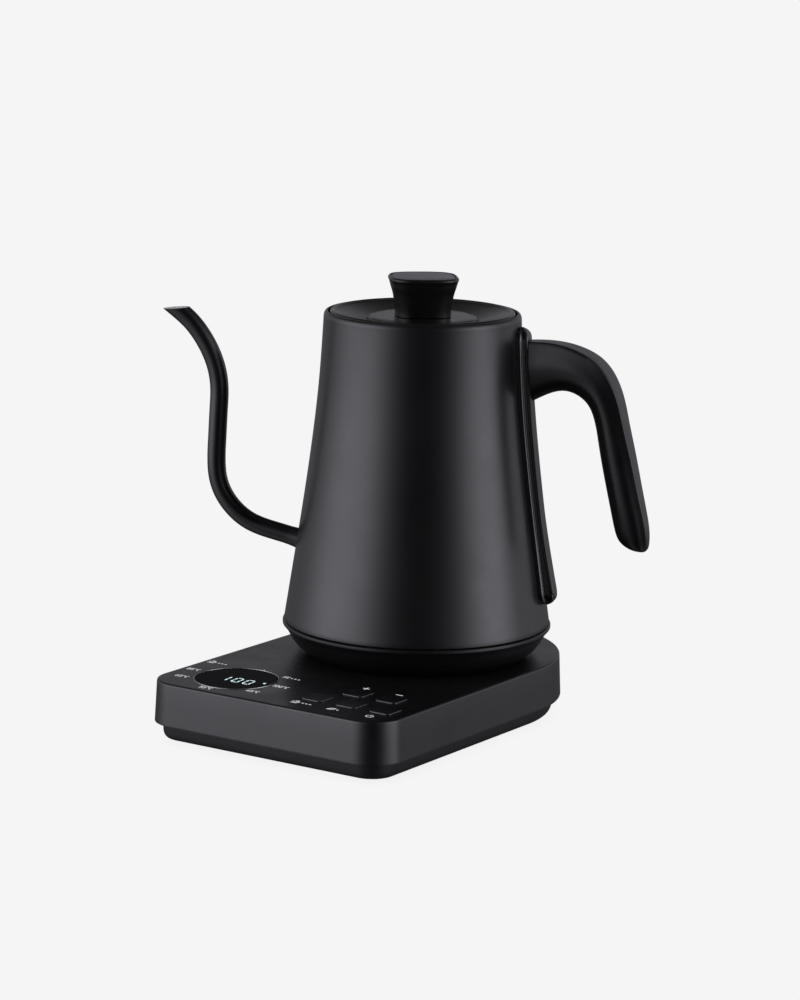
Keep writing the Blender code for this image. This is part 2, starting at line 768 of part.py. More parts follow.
# ---- lid ----
def lid_top():
    profile = [
        # sunk disc and raised ring, running outwards
        (2.2, LID_DISC_Z + 0.1),
        (LID_DISC_R - 3.6, LID_DISC_Z),
        (LID_DISC_R - 0.9, LID_DISC_Z - 0.4),
        (LID_DISC_R, LID_DISC_Z - 1.1),
        (LID_DISC_R + 0.2, LID_DISC_Z - 2.3),
        (LID_DISC_R + 1.4, LID_DISC_Z - 2.5),
        (43.3, LID_TOP - 1.0),
        (43.7, LID_TOP - 0.35),
        (44.6, LID_TOP),
        (45.7, LID_TOP - 0.05),
        (LID_RING_R, LID_TOP - 0.9),
        (LID_RING_R, LEDGE_Z + GAP + 0.5),
        (LID_RING_R - 0.6, LEDGE_Z + GAP),
        # skirt with the groove of the seal
        (SKIRT_OUT, LEDGE_Z + GAP),
        (SKIRT_OUT, SKIRT_Z + 5.0),
        (SKIRT_OUT - 1.0, SKIRT_Z + 5.0),
        (SKIRT_OUT - 1.0, SKIRT_Z + 1.4),
        (SKIRT_OUT, SKIRT_Z + 1.4),
        (SKIRT_OUT, SKIRT_Z),
        (SKIRT_IN, SKIRT_Z),
        # underside, back to the screw hole
        (SKIRT_IN, LEDGE_Z + 1.2),
        (LID_DISC_R + 1.0, LEDGE_Z - 1.3),
        (LID_DISC_R - 1.6, LEDGE_Z - 1.3),
        (LID_DISC_R - 3.4, LEDGE_Z + 0.9),
        (2.2, LEDGE_Z + 0.9),
    ]
    finish(turned("lid_top", profile, 28), LID, "coat")


def lid_seal():
    section = ((42.5, 4.6), (43.3, 4.3), (42.9, 3.2), (43.3, 2.1), (42.5, 1.8))
    profile = [(radius, SKIRT_Z + height) for radius, height in section]
    finish(turned("lid_seal", profile, 28), LID, "silicone")


def lid_liner():
    section = (  # radius, height above the skirt's lower edge
        (0, 1.4), (38.6, 1.4), (40.4, 2.2), (40.6, 6.0),
        (41.2, 6.0), (41.2, 1.6), (39.0, 0.6), (0, 0.6),
    )
    profile = [(radius, SKIRT_Z + height) for radius, height in section]
    finish(turned("lid_liner", profile, 28), LID, "steel")


def knob_ring(share, z, margin=0.0):
    width, depth = KNOB_W * share + margin, KNOB_DEPTH * share + margin
    return levelled(squircle(width, depth, power=3.1, steps=24), z)


def knob():
    line = smooth_line(KNOB_SHAPE, 40)
    rings = []
    for depth in (KNOB_TOP - KNOB_FOOT, 13.5, 9.0, 5.0, 2.2, 0.7, 0.0):
        share = float(np.interp(depth, line[:, 0], line[:, 1]))
        rings.append(knob_ring(share, KNOB_TOP - depth))
    body = finish(lofted("knob", rings), LID, "black_plastic")
    pocket = [knob_ring(KNOB_PLATE, KNOB_TOP + z, margin=0.7) for z in (-1.7, 3.0)]
    cut(body, lofted("cut_knob_pocket", pocket))
    cut(body, cylinder("cut_knob_bore", 1.9, KNOB_FOOT - 2, KNOB_FOOT + 10.5, 12))
    pan_screw(
        "knob_screw",
        head_r=3.6,
        head_h=1.6,
        shank_r=1.6,
        length=13.0,
        at=(0, 0, LEDGE_Z - 1.0),
        parent=LID,
    )


def knob_plate():
    levels = (  # share of the knob's width, height above its top
        (KNOB_PLATE, -1.4),
        (KNOB_PLATE, -0.35),
        (KNOB_PLATE - 0.03, -0.05),
        (KNOB_PLATE * 0.5, 0.15),
    )
    rings = [knob_ring(share, KNOB_TOP + z) for share, z in levels]
    finish(lofted("knob_plate", rings), LID, "satin_plastic")


# ---- base: covers ----
def base_outline(inset):
    """The base outline set in: straight sides, two round front corners, a half-round back."""
    half, radius = BASE_W / 2 - inset, max(1.0, BASE_R - inset)
    back = arc_points(half, np.linspace(0, 180, 21))
    outline = [(x, BACK_CENTRE + y) for x, y in back]
    for side, start in ((-1, 180), (1, 270)):
        for i in range(6):
            angle = math.radians(start + 90 * i / 5)
            x = side * (half - radius) + radius * math.cos(angle)
            outline.append((x, BASE_FRONT + inset + radius + radius * math.sin(angle)))
    return outline


def slab(name, levels):
    """A solid over the base outline: (inset from the nominal outline, height)."""
    return lofted(name, [levelled(base_outline(inset), z) for inset, z in levels])


def inboard(inset, turn):
    """Two places by the front corners and two `turn` degrees either side of the back's middle."""
    half, angle = BASE_W / 2 - inset, math.radians(turn)
    front = [(side * half, BASE_FRONT + inset) for side in (-1, 1)]
    back_y = BACK_CENTRE + half * math.cos(angle)
    return front + [(side * half * math.sin(angle), back_y) for side in (-1, 1)]


BOSSES = inboard(12.3, 38.0)
FEET = inboard(22.0, 62.0)


def base_top_cover():
    shell = [
        (-BASE_FLARE, BASE_SPLIT),
        (-0.1, BASE_TOP - 1.5),
        (0.25, BASE_TOP - 0.45),
        (1.1, BASE_TOP),
    ]
    cover = finish(slab("base_top_cover", shell), BASE, "satin_plastic")
    cavity = [(BASE_WALL - BASE_FLARE, BASE_SPLIT - 3), (BASE_WALL, BASE_TOP - BASE_WALL)]
    cut(cover, slab("cut_base_cavity", cavity))
    for i, at in enumerate(BOSSES):
        add(cover, cylinder(f"add_boss_{i}", 3.7, BASE_SPLIT + 2.0, BASE_TOP - 1.0, 12, at))
        cut(cover, cylinder(f"cut_boss_{i}", 1.9, BASE_SPLIT - 1.0, BASE_TOP - 6.0, 12, at))
    below, above = BASE_TOP - 8, BASE_TOP + 5
    cut(cover, cylinder("cut_seat", SEAT_R, SEAT_Z, above, 36))
    cut(cover, cylinder("cut_socket_hole", 16.2, SEAT_Z - 8, SEAT_Z + 5, 18))
    cut(cover, cylinder("cut_display", DISPLAY_R + GAP, below, above, 28, DISPLAY_AT))
    for name, at in KEYS.items():
        rings = [rounded_square(KEY_SIZE + 0.8, KEY_R + 0.4, z, 3, at) for z in (below, above)]
        cut(cover, lofted(f"cut_key_{name}", rings))
    x, y, z = CORD_EXIT
    cut(cover, tube("cut_cord_exit", [(x, y - 8, z), (x, y + 8, z)], 5.3, round_steps=4))


def base_bottom_cover():
    shell = [
        (6.6, FOOT_H),
        (5.1, FOOT_H + 0.4),
        (4.1, FOOT_H + 1.2),
        (3.5, FOOT_H + 2.4),
        (3.2, FOOT_H + 4.0),
        (3.1, BASE_SPLIT + 0.2),
        (BASE_WALL + GAP, BASE_SPLIT + 0.6),
        (BASE_WALL + GAP, BASE_SPLIT + 2.8),
    ]
    cover = finish(slab("base_bottom_cover", shell), BASE, "black_plastic")
    cavity = [(8.6, FOOT_H + 2.0), (5.8, FOOT_H + 4.2), (5.0, BASE_SPLIT), (4.6, BASE_SPLIT + 8)]
    cut(cover, slab("cut_bottom_cavity", cavity))
    below = FOOT_H - 2
    foot = [(0, FOOT_H + 0.6), (6.0, FOOT_H + 0.6), (6.0, 0.5), (5.5, 0), (0, 0)]
    for i, at in enumerate(FEET):
        cut(cover, cylinder(f"cut_foot_{i}", 6.4, below, FOOT_H + 0.9, 14, at))
        finish(turned(f"foot_{i + 1}", foot, 14, (*at, 0)), BASE, "rubber")
    for i, at in enumerate(BOSSES):
        cut(cover, cylinder(f"cut_screw_{i}", 1.9, below, FOOT_H + 8, 12, at))
        cut(cover, cylinder(f"cut_head_{i}", 3.4, below, FOOT_H + 1.1, 12, at))
        pan_screw(
            f"base_screw_{i + 1}",
            head_r=3.0,
            head_h=1.0,
            shank_r=1.5,
            length=16.0,
            at=(*at, FOOT_H - 0.25),
            parent=BASE,
        )


# ---- base: display, keys, boards ----
def display():
    profile = [
        (0, BASE_TOP - 0.05),
        (DISPLAY_R - 0.5, BASE_TOP - 0.05),
        (DISPLAY_R, BASE_TOP - 0.5),
        (DISPLAY_R, BASE_TOP - 2.0),
        (0, BASE_TOP - 2.0),
    ]
    finish(turned("display_lens", profile, 28, (*DISPLAY_AT, 0)), BASE, "gloss_plastic")
    centre = (*DISPLAY_AT, BOARD_Z + BOARD_T + GAP + 3.6)
    finish(block("display_module", (28.0, 16.0, 7.2), centre), BASE, "component")


def key(name, at):
    """A key cap with a flange and a stem, on its own frame."""
    pivot = frame(f"key_{name}_frame", BASE, (*at, 0))
    levels = (  # side, corner radius, height
        (KEY_SIZE + 1.7, KEY_R, BASE_TOP - 4.2),
        (KEY_SIZE + 1.7, KEY_R, BASE_TOP - 2.6),
        (KEY_SIZE, KEY_R, BASE_TOP - 2.6),
        (KEY_SIZE, KEY_R, BASE_TOP + KEY_PROUD - 0.35),
        (KEY_SIZE - 0.8, KEY_R - 0.4, BASE_TOP + KEY_PROUD),
    )
    cap = lofted(f"key_{name}", [rounded_square(*level, 3) for level in levels])
    finish(cap, pivot, "gloss_plastic")
    add(cap, cylinder(f"add_stem_key_{name}", 1.8, STEM_FOOT, BASE_TOP - 3.4, 10))


def switch(name, at):
    """The switch on the board under a key."""
    levels = (  # side, corner radius, height
        (6.0, 0.4, BOARD_Z + BOARD_T + GAP),
        (6.0, 0.4, BOARD_Z + 3.0),
        (3.4, 1.2, BOARD_Z + 3.0),
        (3.2, 1.2, STEM_FOOT - KEY_TRAVEL - GAP),
    )
    rings = [rounded_square(*level, 1, at) for level in levels]
    finish(lofted(f"switch_{name}", rings), BASE, "component")


def keys():
    for name, at in KEYS.items():
        key(name, at)
        switch(name, at)


def boards():
    centre = (1.0, BASE_FRONT + 40.0, BOARD_Z + BOARD_T / 2)
    finish(block("control_board", (122.0, 44.0, BOARD_T), centre), BASE, "board")
    centre = (0, -30.0, POWER_Z + BOARD_T / 2)
    finish(block("power_board", (96.0, 44.0, BOARD_T), centre), BASE, "board")
    centre = (-36.0, -32.0, POWER_Z + BOARD_T + GAP + 6.5)
    finish(block("relay", (15.5, 20.0, 13.0), centre), BASE, "relay")


# ---- base: socket ----
def base_socket():
    """A flanged post with a pin hole down its middle and a ring slot in its top."""
    top, slot_floor, foot = FOOT_H + 37.7, FOOT_H + 27.2, FOOT_H + 15.0
    flange = BASE_TOP - BASE_WALL - GAP
    profile = [
        (3.3, top - 0.6),
        (3.9, top),
        (7.9, top),
        (8.2, top - 0.3),
        (8.2, slot_floor),
        (11.0, slot_floor),
        (11.0, top - 0.3),
        (11.3, top),
        (14.9, top),
        (15.6, top - 0.7),
        (15.8, flange),
        (22.0, flange),
        (22.0, flange - 2.4),
        (15.8, flange - 2.4),
        (15.8, foot),
        (3.3, foot),
    ]
    finish(turned("base_socket", profile, 18), BASE, "ivory")
    high, low = FOOT_H + 31.4, FOOT_H + 27.6
    shutter = [(8.6, high), (10.6, high), (10.6, low), (8.6, low)]
    finish(turned("socket_shutter", shutter, 18), BASE, "component")


def socket_contacts():
    lines = {  # x, y, height above the base underside
        "line": ((0, 0, 25.0), (0, 0, 14.0), (0, -2.0, 11.6), (0, -16.0, 11.0)),
        "neutral": ((9.6, 0, 14.6), (9.6, 0, 12.2), (9.6, -2.4, 11.0), (9.6, -16.0, 11.0)),
    }
    for name, line in lines.items():
        points = [(x, y, FOOT_H + z) for x, y, z in line]
        finish(tube(f"socket_contact_{name}", points, 1.3, round_steps=0), BASE, "brass")


# ---- cord ----
CORD_Z = CORD_R + 0.1
RUN_Y = CORD_EXIT[1] + 23.0  # first of the folded runs behind the base
PLUG_X, PLUG_Y, PLUG_Z = -62.0, RUN_Y + 35.0, 9.2


def strain_relief():
    bore = CORD_R + GAP
    profile = [
        (bore, 7.0),
        (4.3, 7.0),
        (6.6, 1.6),
        (6.6, GAP + 0.1),
        (4.9, GAP + 0.1),
        (4.9, -3.4),
        (bore, -3.4),
    ]
    x, y, z = CORD_EXIT
    relief = laid(turned("strain_relief", profile, 16), -90, "X", (x, y + BASE_FLARE, z))
    finish(relief, BASE, "rubber")


def fold(left, right, rows, z, steps=6):
    """A cord laid to and fro along x from the right: straight runs joined by half circles."""
    points = []
    for i, y in enumerate(rows):
        start, end, side = (right, left, -1) if i % 2 == 0 else (left, right, 1)
        points += [(start, y, z), ((start + end) / 2, y, z), (end, y, z)]
        if i + 1 < len(rows):
            radius = (rows[i + 1] - y) / 2
            for k in range(1, steps):
                angle = math.pi * k / steps
                x = end + side * radius * math.sin(angle)
                points.append((x, y + radius * (1 - math.cos(angle)), z))
    return points


def bezier(controls, count):
    start, leave, arrive, end = (Vector(point) for point in controls)
    return [
        start * (1 - t) ** 3 + 3 * leave * t * (1 - t) ** 2 + 3 * arrive * t**2 * (1 - t) + end * t**3
        for t in np.linspace(0, 1, count)
    ]


def cord():
    x, y, z = CORD_EXIT
    left, right = -76.0, -22.0
    controls = (
        (x, y + 7.5, z),
        (x, y + 20, z),
        (-3.0, RUN_Y + 0.4, CORD_Z),
        (right, RUN_Y, CORD_Z),
    )
    drop = bezier(controls, 9)[:-1]  # its last point opens the folded part
    # the last run stops at its right end, where the rise to the plug takes over
    run = fold(left, right, (RUN_Y, RUN_Y + 15.0, PLUG_Y), CORD_Z)[:-2]
    rise = [
        (-34.0, PLUG_Y, CORD_Z),
        (-42.0, PLUG_Y, CORD_Z + 1.0),
        (-50.0, PLUG_Y, PLUG_Z - 1.2),
        (-57.0, PLUG_Y, PLUG_Z),
        (PLUG_X - 3.4, PLUG_Y, PLUG_Z),
    ]
    finish(tube("cord", [(x, y - 12, z)] + drop + run + rise, CORD_R), BASE, "rubber")


def plug():
    """The plug lies with its two pins pointing to -X."""
    sections = (  # x from the cord end, width, height
        (0.0, 9.0, 9.0),
        (-7.0, 12.0, 11.0),
        (-11.0, 24.0, 16.0),
        (-15.0, 29.0, 18.0),
        (-31.0, 29.0, 18.0),
        (-32.0, 27.4, 16.6),
    )
    rings = [
        [(x, y, z) for y, z in squircle(width, height, power=3.0, steps=16)]
        for x, width, height in sections
    ]
    body = lofted("plug", rings)
    body.location = Vector((PLUG_X, PLUG_Y, PLUG_Z)) * MM
    finish(body, BASE, "rubber")
    line = [(PLUG_X + 6, PLUG_Y, PLUG_Z), (PLUG_X - 4.0, PLUG_Y, PLUG_Z)]
    cut(body, tube("cut_plug_cord", line, CORD_R + GAP))
    profile = [(0, 0), (2.2, 0), (2.2, -25.0), (1.3, -26.6), (0, -27.0)]
    for i, y in enumerate((PLUG_Y - 9.3, PLUG_Y + 9.3)):
        line = [(PLUG_X - 24, y, PLUG_Z), (PLUG_X - 36, y, PLUG_Z)]
        cut(body, tube(f"cut_plug_pin_{i}", line, 2.6, round_steps=3))
        pin = turned(f"plug_pin_{i + 1}", profile, 12)
        finish(laid(pin, 90, "Y", (PLUG_X - 24.4, y, PLUG_Z)), BASE, "brass")


def centre_set():
    """Move the root so the middle of the set's box is over the origin and its foot on z = 0."""
    bpy.context.view_layer.update()
    graph = bpy.context.evaluated_depsgraph_get()
    low, high = Vector((9, 9, 9)), Vector((-9, -9, -9))
    for obj in PARTS.objects:
        if obj.type != "MESH":
            continue
        evaluated = obj.evaluated_get(graph)
        for vertex in evaluated.to_mesh().vertices:
            point = evaluated.matrix_world @ vertex.co
            low = Vector(map(min, low, point))
            high = Vector(map(max, high, point))
        evaluated.to_mesh_clear()
    ROOT.location = (-(low.x + high.x) / 2, -(low.y + high.y) / 2, -low.z)
    bpy.context.view_layer.update()


BUILDERS = (
    kettle_body, chamber_floor, spout,
    bottom_cover, heating_element, thermal_cutout, temperature_sensor, kettle_connector,
    handle,
    lid_top, lid_seal, lid_liner, knob, knob_plate,
    base_top_cover, base_bottom_cover, display, keys, boards, base_socket, socket_contacts,
    strain_relief, cord, plug,
)
for build in BUILDERS:
    build()
centre_set()
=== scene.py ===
"""A gooseneck kettle with its lid, standing on a base with keys, a display, a cord and a plug.

Shapes are drawn in mm about the kettle's upright axis, z up from the table, and become metres
when meshed. The base's square front faces -y and its round back +y. In the kettle's own frame
the handle lies along +x and the spout along -x; the lid is turned a little further.
"""
import json
import math

import bmesh
import bpy
import numpy as np
from mathutils import Matrix, Vector


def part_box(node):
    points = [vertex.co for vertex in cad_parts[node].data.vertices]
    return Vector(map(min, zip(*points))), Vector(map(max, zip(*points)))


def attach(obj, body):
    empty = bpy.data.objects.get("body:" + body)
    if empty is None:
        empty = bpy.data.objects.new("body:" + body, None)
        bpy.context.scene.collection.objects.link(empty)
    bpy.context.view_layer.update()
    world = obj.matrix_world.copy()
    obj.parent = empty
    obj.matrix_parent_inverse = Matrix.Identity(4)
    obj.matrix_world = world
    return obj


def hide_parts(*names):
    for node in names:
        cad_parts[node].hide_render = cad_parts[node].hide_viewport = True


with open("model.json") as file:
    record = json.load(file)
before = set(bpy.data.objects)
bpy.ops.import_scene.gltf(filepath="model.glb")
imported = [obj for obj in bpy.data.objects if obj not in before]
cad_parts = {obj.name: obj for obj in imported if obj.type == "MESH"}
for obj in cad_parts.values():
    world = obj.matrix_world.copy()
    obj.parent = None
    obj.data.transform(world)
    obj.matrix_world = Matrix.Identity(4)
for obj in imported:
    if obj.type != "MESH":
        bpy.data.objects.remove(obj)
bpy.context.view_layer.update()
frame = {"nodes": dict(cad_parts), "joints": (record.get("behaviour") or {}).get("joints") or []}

MM = 0.001

# ---------------------------------------------------------------- places taken from the frame
joints = {joint["name"]: joint for joint in frame["joints"]}
AXIS = Vector(joints["kettle_swivel"]["pos_m"])
AXIS.z = 0.0


def from_axis(node_name):
    """A node's centre from the kettle's axis, in metres."""
    low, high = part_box(node_name)
    return (low + high) / 2 - AXIS


def plan_place(node_name):
    """A node's centre seen from above, in mm."""
    centre = from_axis(node_name)
    return (centre.x / MM, centre.y / MM)


to_handle = from_axis("grip_screw_1")
KETTLE_TURN = math.atan2(to_handle.y, to_handle.x)
LID_TURN = math.radians(21.0)
AT_BASE = Matrix.Translation(AXIS)
AT_KETTLE = AT_BASE @ Matrix.Rotation(KETTLE_TURN, 4, "Z")
AT_LID = AT_KETTLE @ Matrix.Rotation(LID_TURN, 4, "Z")
FRAMES = {"kettle": AT_KETTLE, "lid": AT_LID}  # every other body uses AT_BASE

# ---------------------------------------------------------------- driving dimensions
FOOT_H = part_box("base_bottom_cover")[0].z / MM  # the base's underside
BASE_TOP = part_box("base_top_cover")[1].z / MM
BASE_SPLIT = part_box("base_top_cover")[0].z / MM  # where the base's two covers meet
BASE_W, BASE_R = 141.5, 16.8  # width and front corner radius
BASE_FLARE = 0.95  # how far the top cover widens towards its foot
FRONT_Y = -134.2
BACK_CENTRE = 4.5  # y of the centre of the round back
CORNER = Vector((-BASE_W / 2, FRONT_Y))  # front left corner
SEAT_R, SEAT_Z = 58.2, BASE_TOP - 0.8  # recess the kettle stands in
GAP = 0.3  # clearance between parts

BODY_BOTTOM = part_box("kettle_body")[0].z / MM
SHOULDER_Z = FOOT_H + 200.6
RIM_TOP, RIM_R = FOOT_H + 203.5, 47.35
LEDGE_Z, MOUTH_R = FOOT_H + 198.5, 43.6  # ledge the lid rests on
BODY_WALL = 1.0
# height above FOOT_H, outer radius
BODY_SHAPE = (
    (46.1, 67.35), (76.0, 62.9), (107.0, 58.4), (138.0, 54.4), (168.0, 51.4), (200.6, 49.55),
)

SPOUT_R, SPOUT_WALL = 4.7, 0.8
SPOUT_LIP_Z, SPOUT_LIP_TILT = FOOT_H + 198.6, 5.8  # the tilt in degrees
# spout's centre line: distance from the axis, height above FOOT_H
SPOUT_PATH = (
    (56.0, 81.6), (64.5, 83.8), (73.3, 85.9), (89.9, 91.1), (98.0, 97.4), (103.3, 104.7),
    (106.0, 112.0), (106.9, 120.0), (106.6, 134.0), (106.0, 148.0), (105.7, 157.0),
    (106.3, 164.0), (108.2, 171.5), (111.3, 178.6), (115.2, 185.0), (120.6, 191.6),
    (127.4, 197.4), (135.0, 203.0),
)

RAIL_TOP, RAIL_BOTTOM = FOOT_H + 198.4, FOOT_H + 58.4
RAIL_HALF, RAIL_OUT = 6.8, 5.1  # half width, and how far it stands off the body
COVER_HALF = 5.2
# outer edge (radius, height), inner edge (radius, height), half width, half width of flat back;
# heights above FOOT_H
GRIP_STATIONS = (
    ((55.5, 191.8), (57.4, 161.6), 6.3, 4.6),
    ((62.5, 192.0), (62.0, 164.1), 7.2, 5.2),
    ((72.0, 191.2), (68.4, 166.8), 8.3, 6.4),
    ((82.5, 188.2), (75.0, 167.4), 9.4, 7.8),
    ((91.4, 182.8), (81.3, 165.0), 10.0, 8.8),
    ((97.7, 174.8), (86.3, 160.0), 10.2, 8.8),
    ((101.7, 165.7), (89.0, 153.2), 9.9, 8.3),
    ((105.3, 152.0), (90.9, 144.2), 9.5, 7.4),
    ((108.6, 139.0), (92.9, 133.6), 9.1, 6.6),
    ((112.0, 124.5), (95.6, 121.0), 8.6, 5.8),
    ((115.3, 110.5), (98.4, 108.6), 8.0, 5.0),
    ((117.4, 100.4), (100.6, 99.4), 7.2, 4.2),
    ((117.9, 95.0), (102.6, 94.3), 6.4, 3.6),
    ((117.8, 91.5), (105.8, 91.2), 5.2, 2.8),
    ((117.1, 89.6), (109.6, 89.4), 3.7, 1.8),
    ((115.8, 88.8), (112.4, 88.8), 1.8, 0.8),
)

LID_RING_R, LID_TOP = 46.9, FOOT_H + 204.1
LID_DISC_R, LID_DISC_Z = 27.7, FOOT_H + 201.5
KNOB_TOP, KNOB_W, KNOB_DEPTH, KNOB_POWER = FOOT_H + 221.4, 34.6, 33.0, 3.1
# depth below the knob's top, share of its full width
KNOB_SHAPE = (
    (0.0, 0.965), (0.7, 1.0), (2.2, 0.985), (4.6, 0.945), (8.0, 0.885), (12.0, 0.838),
    (16.0, 0.806), (19.2, 0.797),
)
KEY_SIZE, KEY_R, KEY_PROUD = 12.4, 2.4, 0.6
CORD_R = 3.2


# ---------------------------------------------------------------- shader nodes
def fresh_tree(owner):
    owner.use_nodes = True
    owner.node_tree.nodes.clear()
    return owner.node_tree


def is_socket(value):
    return isinstance(value, bpy.types.NodeSocket)


def node(tree, kind, inputs=None, **settings):
    """A new node; each input is a value, or a socket to link from."""
    made = tree.nodes.new("ShaderNode" + kind)
    for key, value in settings.items():
        setattr(made, key, value)
    for key, value in (inputs or {}).items():
        if is_socket(value):
            tree.links.new(value, made.inputs[key])
        else:
            made.inputs[key].default_value = value
    return made


def maths(tree, operation, *values):
    return node(tree, "Math", dict(enumerate(values)), operation=operation).outputs[0]


def noise(tree, coord, scale, detail=3.0, rough=0.55, distortion=0.0):
    inputs = {
        "Vector": coord, "Scale": scale, "Detail": detail,
        "Roughness": rough, "Distortion": distortion,
    }
    return node(tree, "TexNoise", inputs).outputs["Fac"]


def spread(tree, value, low, high, start=0.3, end=0.7):
    """The range start to end mapped onto low to high."""
    inputs = {
        "Value": value, "From Min": start, "From Max": end, "To Min": low, "To Max": high,
    }
    return node(tree, "MapRange", inputs).outputs["Result"]


def mixed(tree, factor, first, second):
    first, second = (c if is_socket(c) else (*c, 1) for c in (first, second))
    inputs = {"Factor": factor, 6: first, 7: second}
    return node(tree, "Mix", inputs, data_type="RGBA").outputs[2]


def bumped(tree, height, distance):
    """Relief of the given height in metres."""
    inputs = {"Strength": 1.0, "Distance": distance, "Height": height}
    return node(tree, "Bump", inputs).outputs[0]


def scaled(colour, times, plus=0.0):
    return tuple(min(1.0, c * times + plus) for c in colour)


def new_material(name):
    material = bpy.data.materials.new(name)
    tree = fresh_tree(material)
    return material, tree, node(tree, "TexCoord").outputs["Object"]


def shaded(tree, inputs):
    """A principled shader joined to the material's output."""
    shader = node(tree, "BsdfPrincipled", inputs)
    node(tree, "OutputMaterial", {"Surface": shader.outputs["BSDF"]})


# ---------------------------------------------------------------- materials
DUST_COLOUR = (0.32, 0.31, 0.30)


def surface(
    name, colour, rough, rough_vary, specular, vary, grain, grain_h, blotch, edge,
    metal=0.0, smudge=0.0, dust=0.0, ior=1.5, glint=(1.0, 1.0, 1.0), traces=None,
):
    """A finish with slow colour variation, fine relief, uneven gloss and worn edges."""
    material, tree, coord = new_material(name)
    slow = spread(tree, noise(tree, coord, blotch), low=0.0, high=1.0)
    tint = mixed(tree, slow, scaled(colour, 1 - vary), scaled(colour, 1 + vary))

    # worn and rubbed edges, in patches
    geometry = node(tree, "NewGeometry").outputs
    worn = spread(tree, geometry["Pointiness"], low=0.0, high=1.0, start=0.515, end=0.60)
    patches = noise(tree, coord, scale=160.0, detail=4.0)
    patches = spread(tree, patches, low=0.0, high=edge, start=0.38, end=0.62)
    edge_colour = scaled(colour, times=2.2, plus=0.02)
    tint = mixed(tree, maths(tree, "MULTIPLY", worn, patches), tint, edge_colour)

    if dust:  # lies on faces that look up
        normal = node(tree, "SeparateXYZ", {0: geometry["Normal"]})
        level = spread(tree, normal.outputs["Z"], low=0.0, high=dust, start=0.55, end=1.0)
        specks = noise(tree, coord, scale=420.0, detail=6.0, rough=0.7)
        specks = spread(tree, specks, low=0.0, high=1.0, start=0.45, end=0.75)
        tint = mixed(tree, maths(tree, "MULTIPLY", level, specks), tint, DUST_COLOUR)
    if traces:  # a brick pattern as circuit traces
        inputs = {"Vector": coord, "Scale": 190, "Mortar Size": 0.03}
        tint = mixed(tree, node(tree, "TexBrick", inputs).outputs["Fac"], tint, traces)

    gloss = noise(tree, coord, scale=blotch * 2.3, detail=4.0)
    gloss = spread(tree, gloss, low=rough - rough_vary, high=rough + rough_vary)
    if smudge:
        rubbed = noise(tree, coord, scale=55.0, detail=5.0, rough=0.6, distortion=0.6)
        rubbed = spread(tree, rubbed, low=0.0, high=smudge, start=0.5, end=0.68)
        gloss = maths(tree, "SUBTRACT", gloss, rubbed)

    if isinstance(grain, tuple):
        stretched = node(tree, "Mapping", {"Vector": coord, "Scale": grain}).outputs[0]
        height = noise(tree, stretched, scale=1.0, detail=5.0, rough=0.7)
    else:
        height = noise(tree, coord, scale=grain, rough=0.6)
    shaded(tree, {
        "Base Color": tint, "Roughness": gloss, "Metallic": metal, "IOR": ior,
        "Specular IOR Level": specular, "Specular Tint": (*glint, 1),
        "Normal": bumped(tree, height, grain_h * MM),
    })
    return material


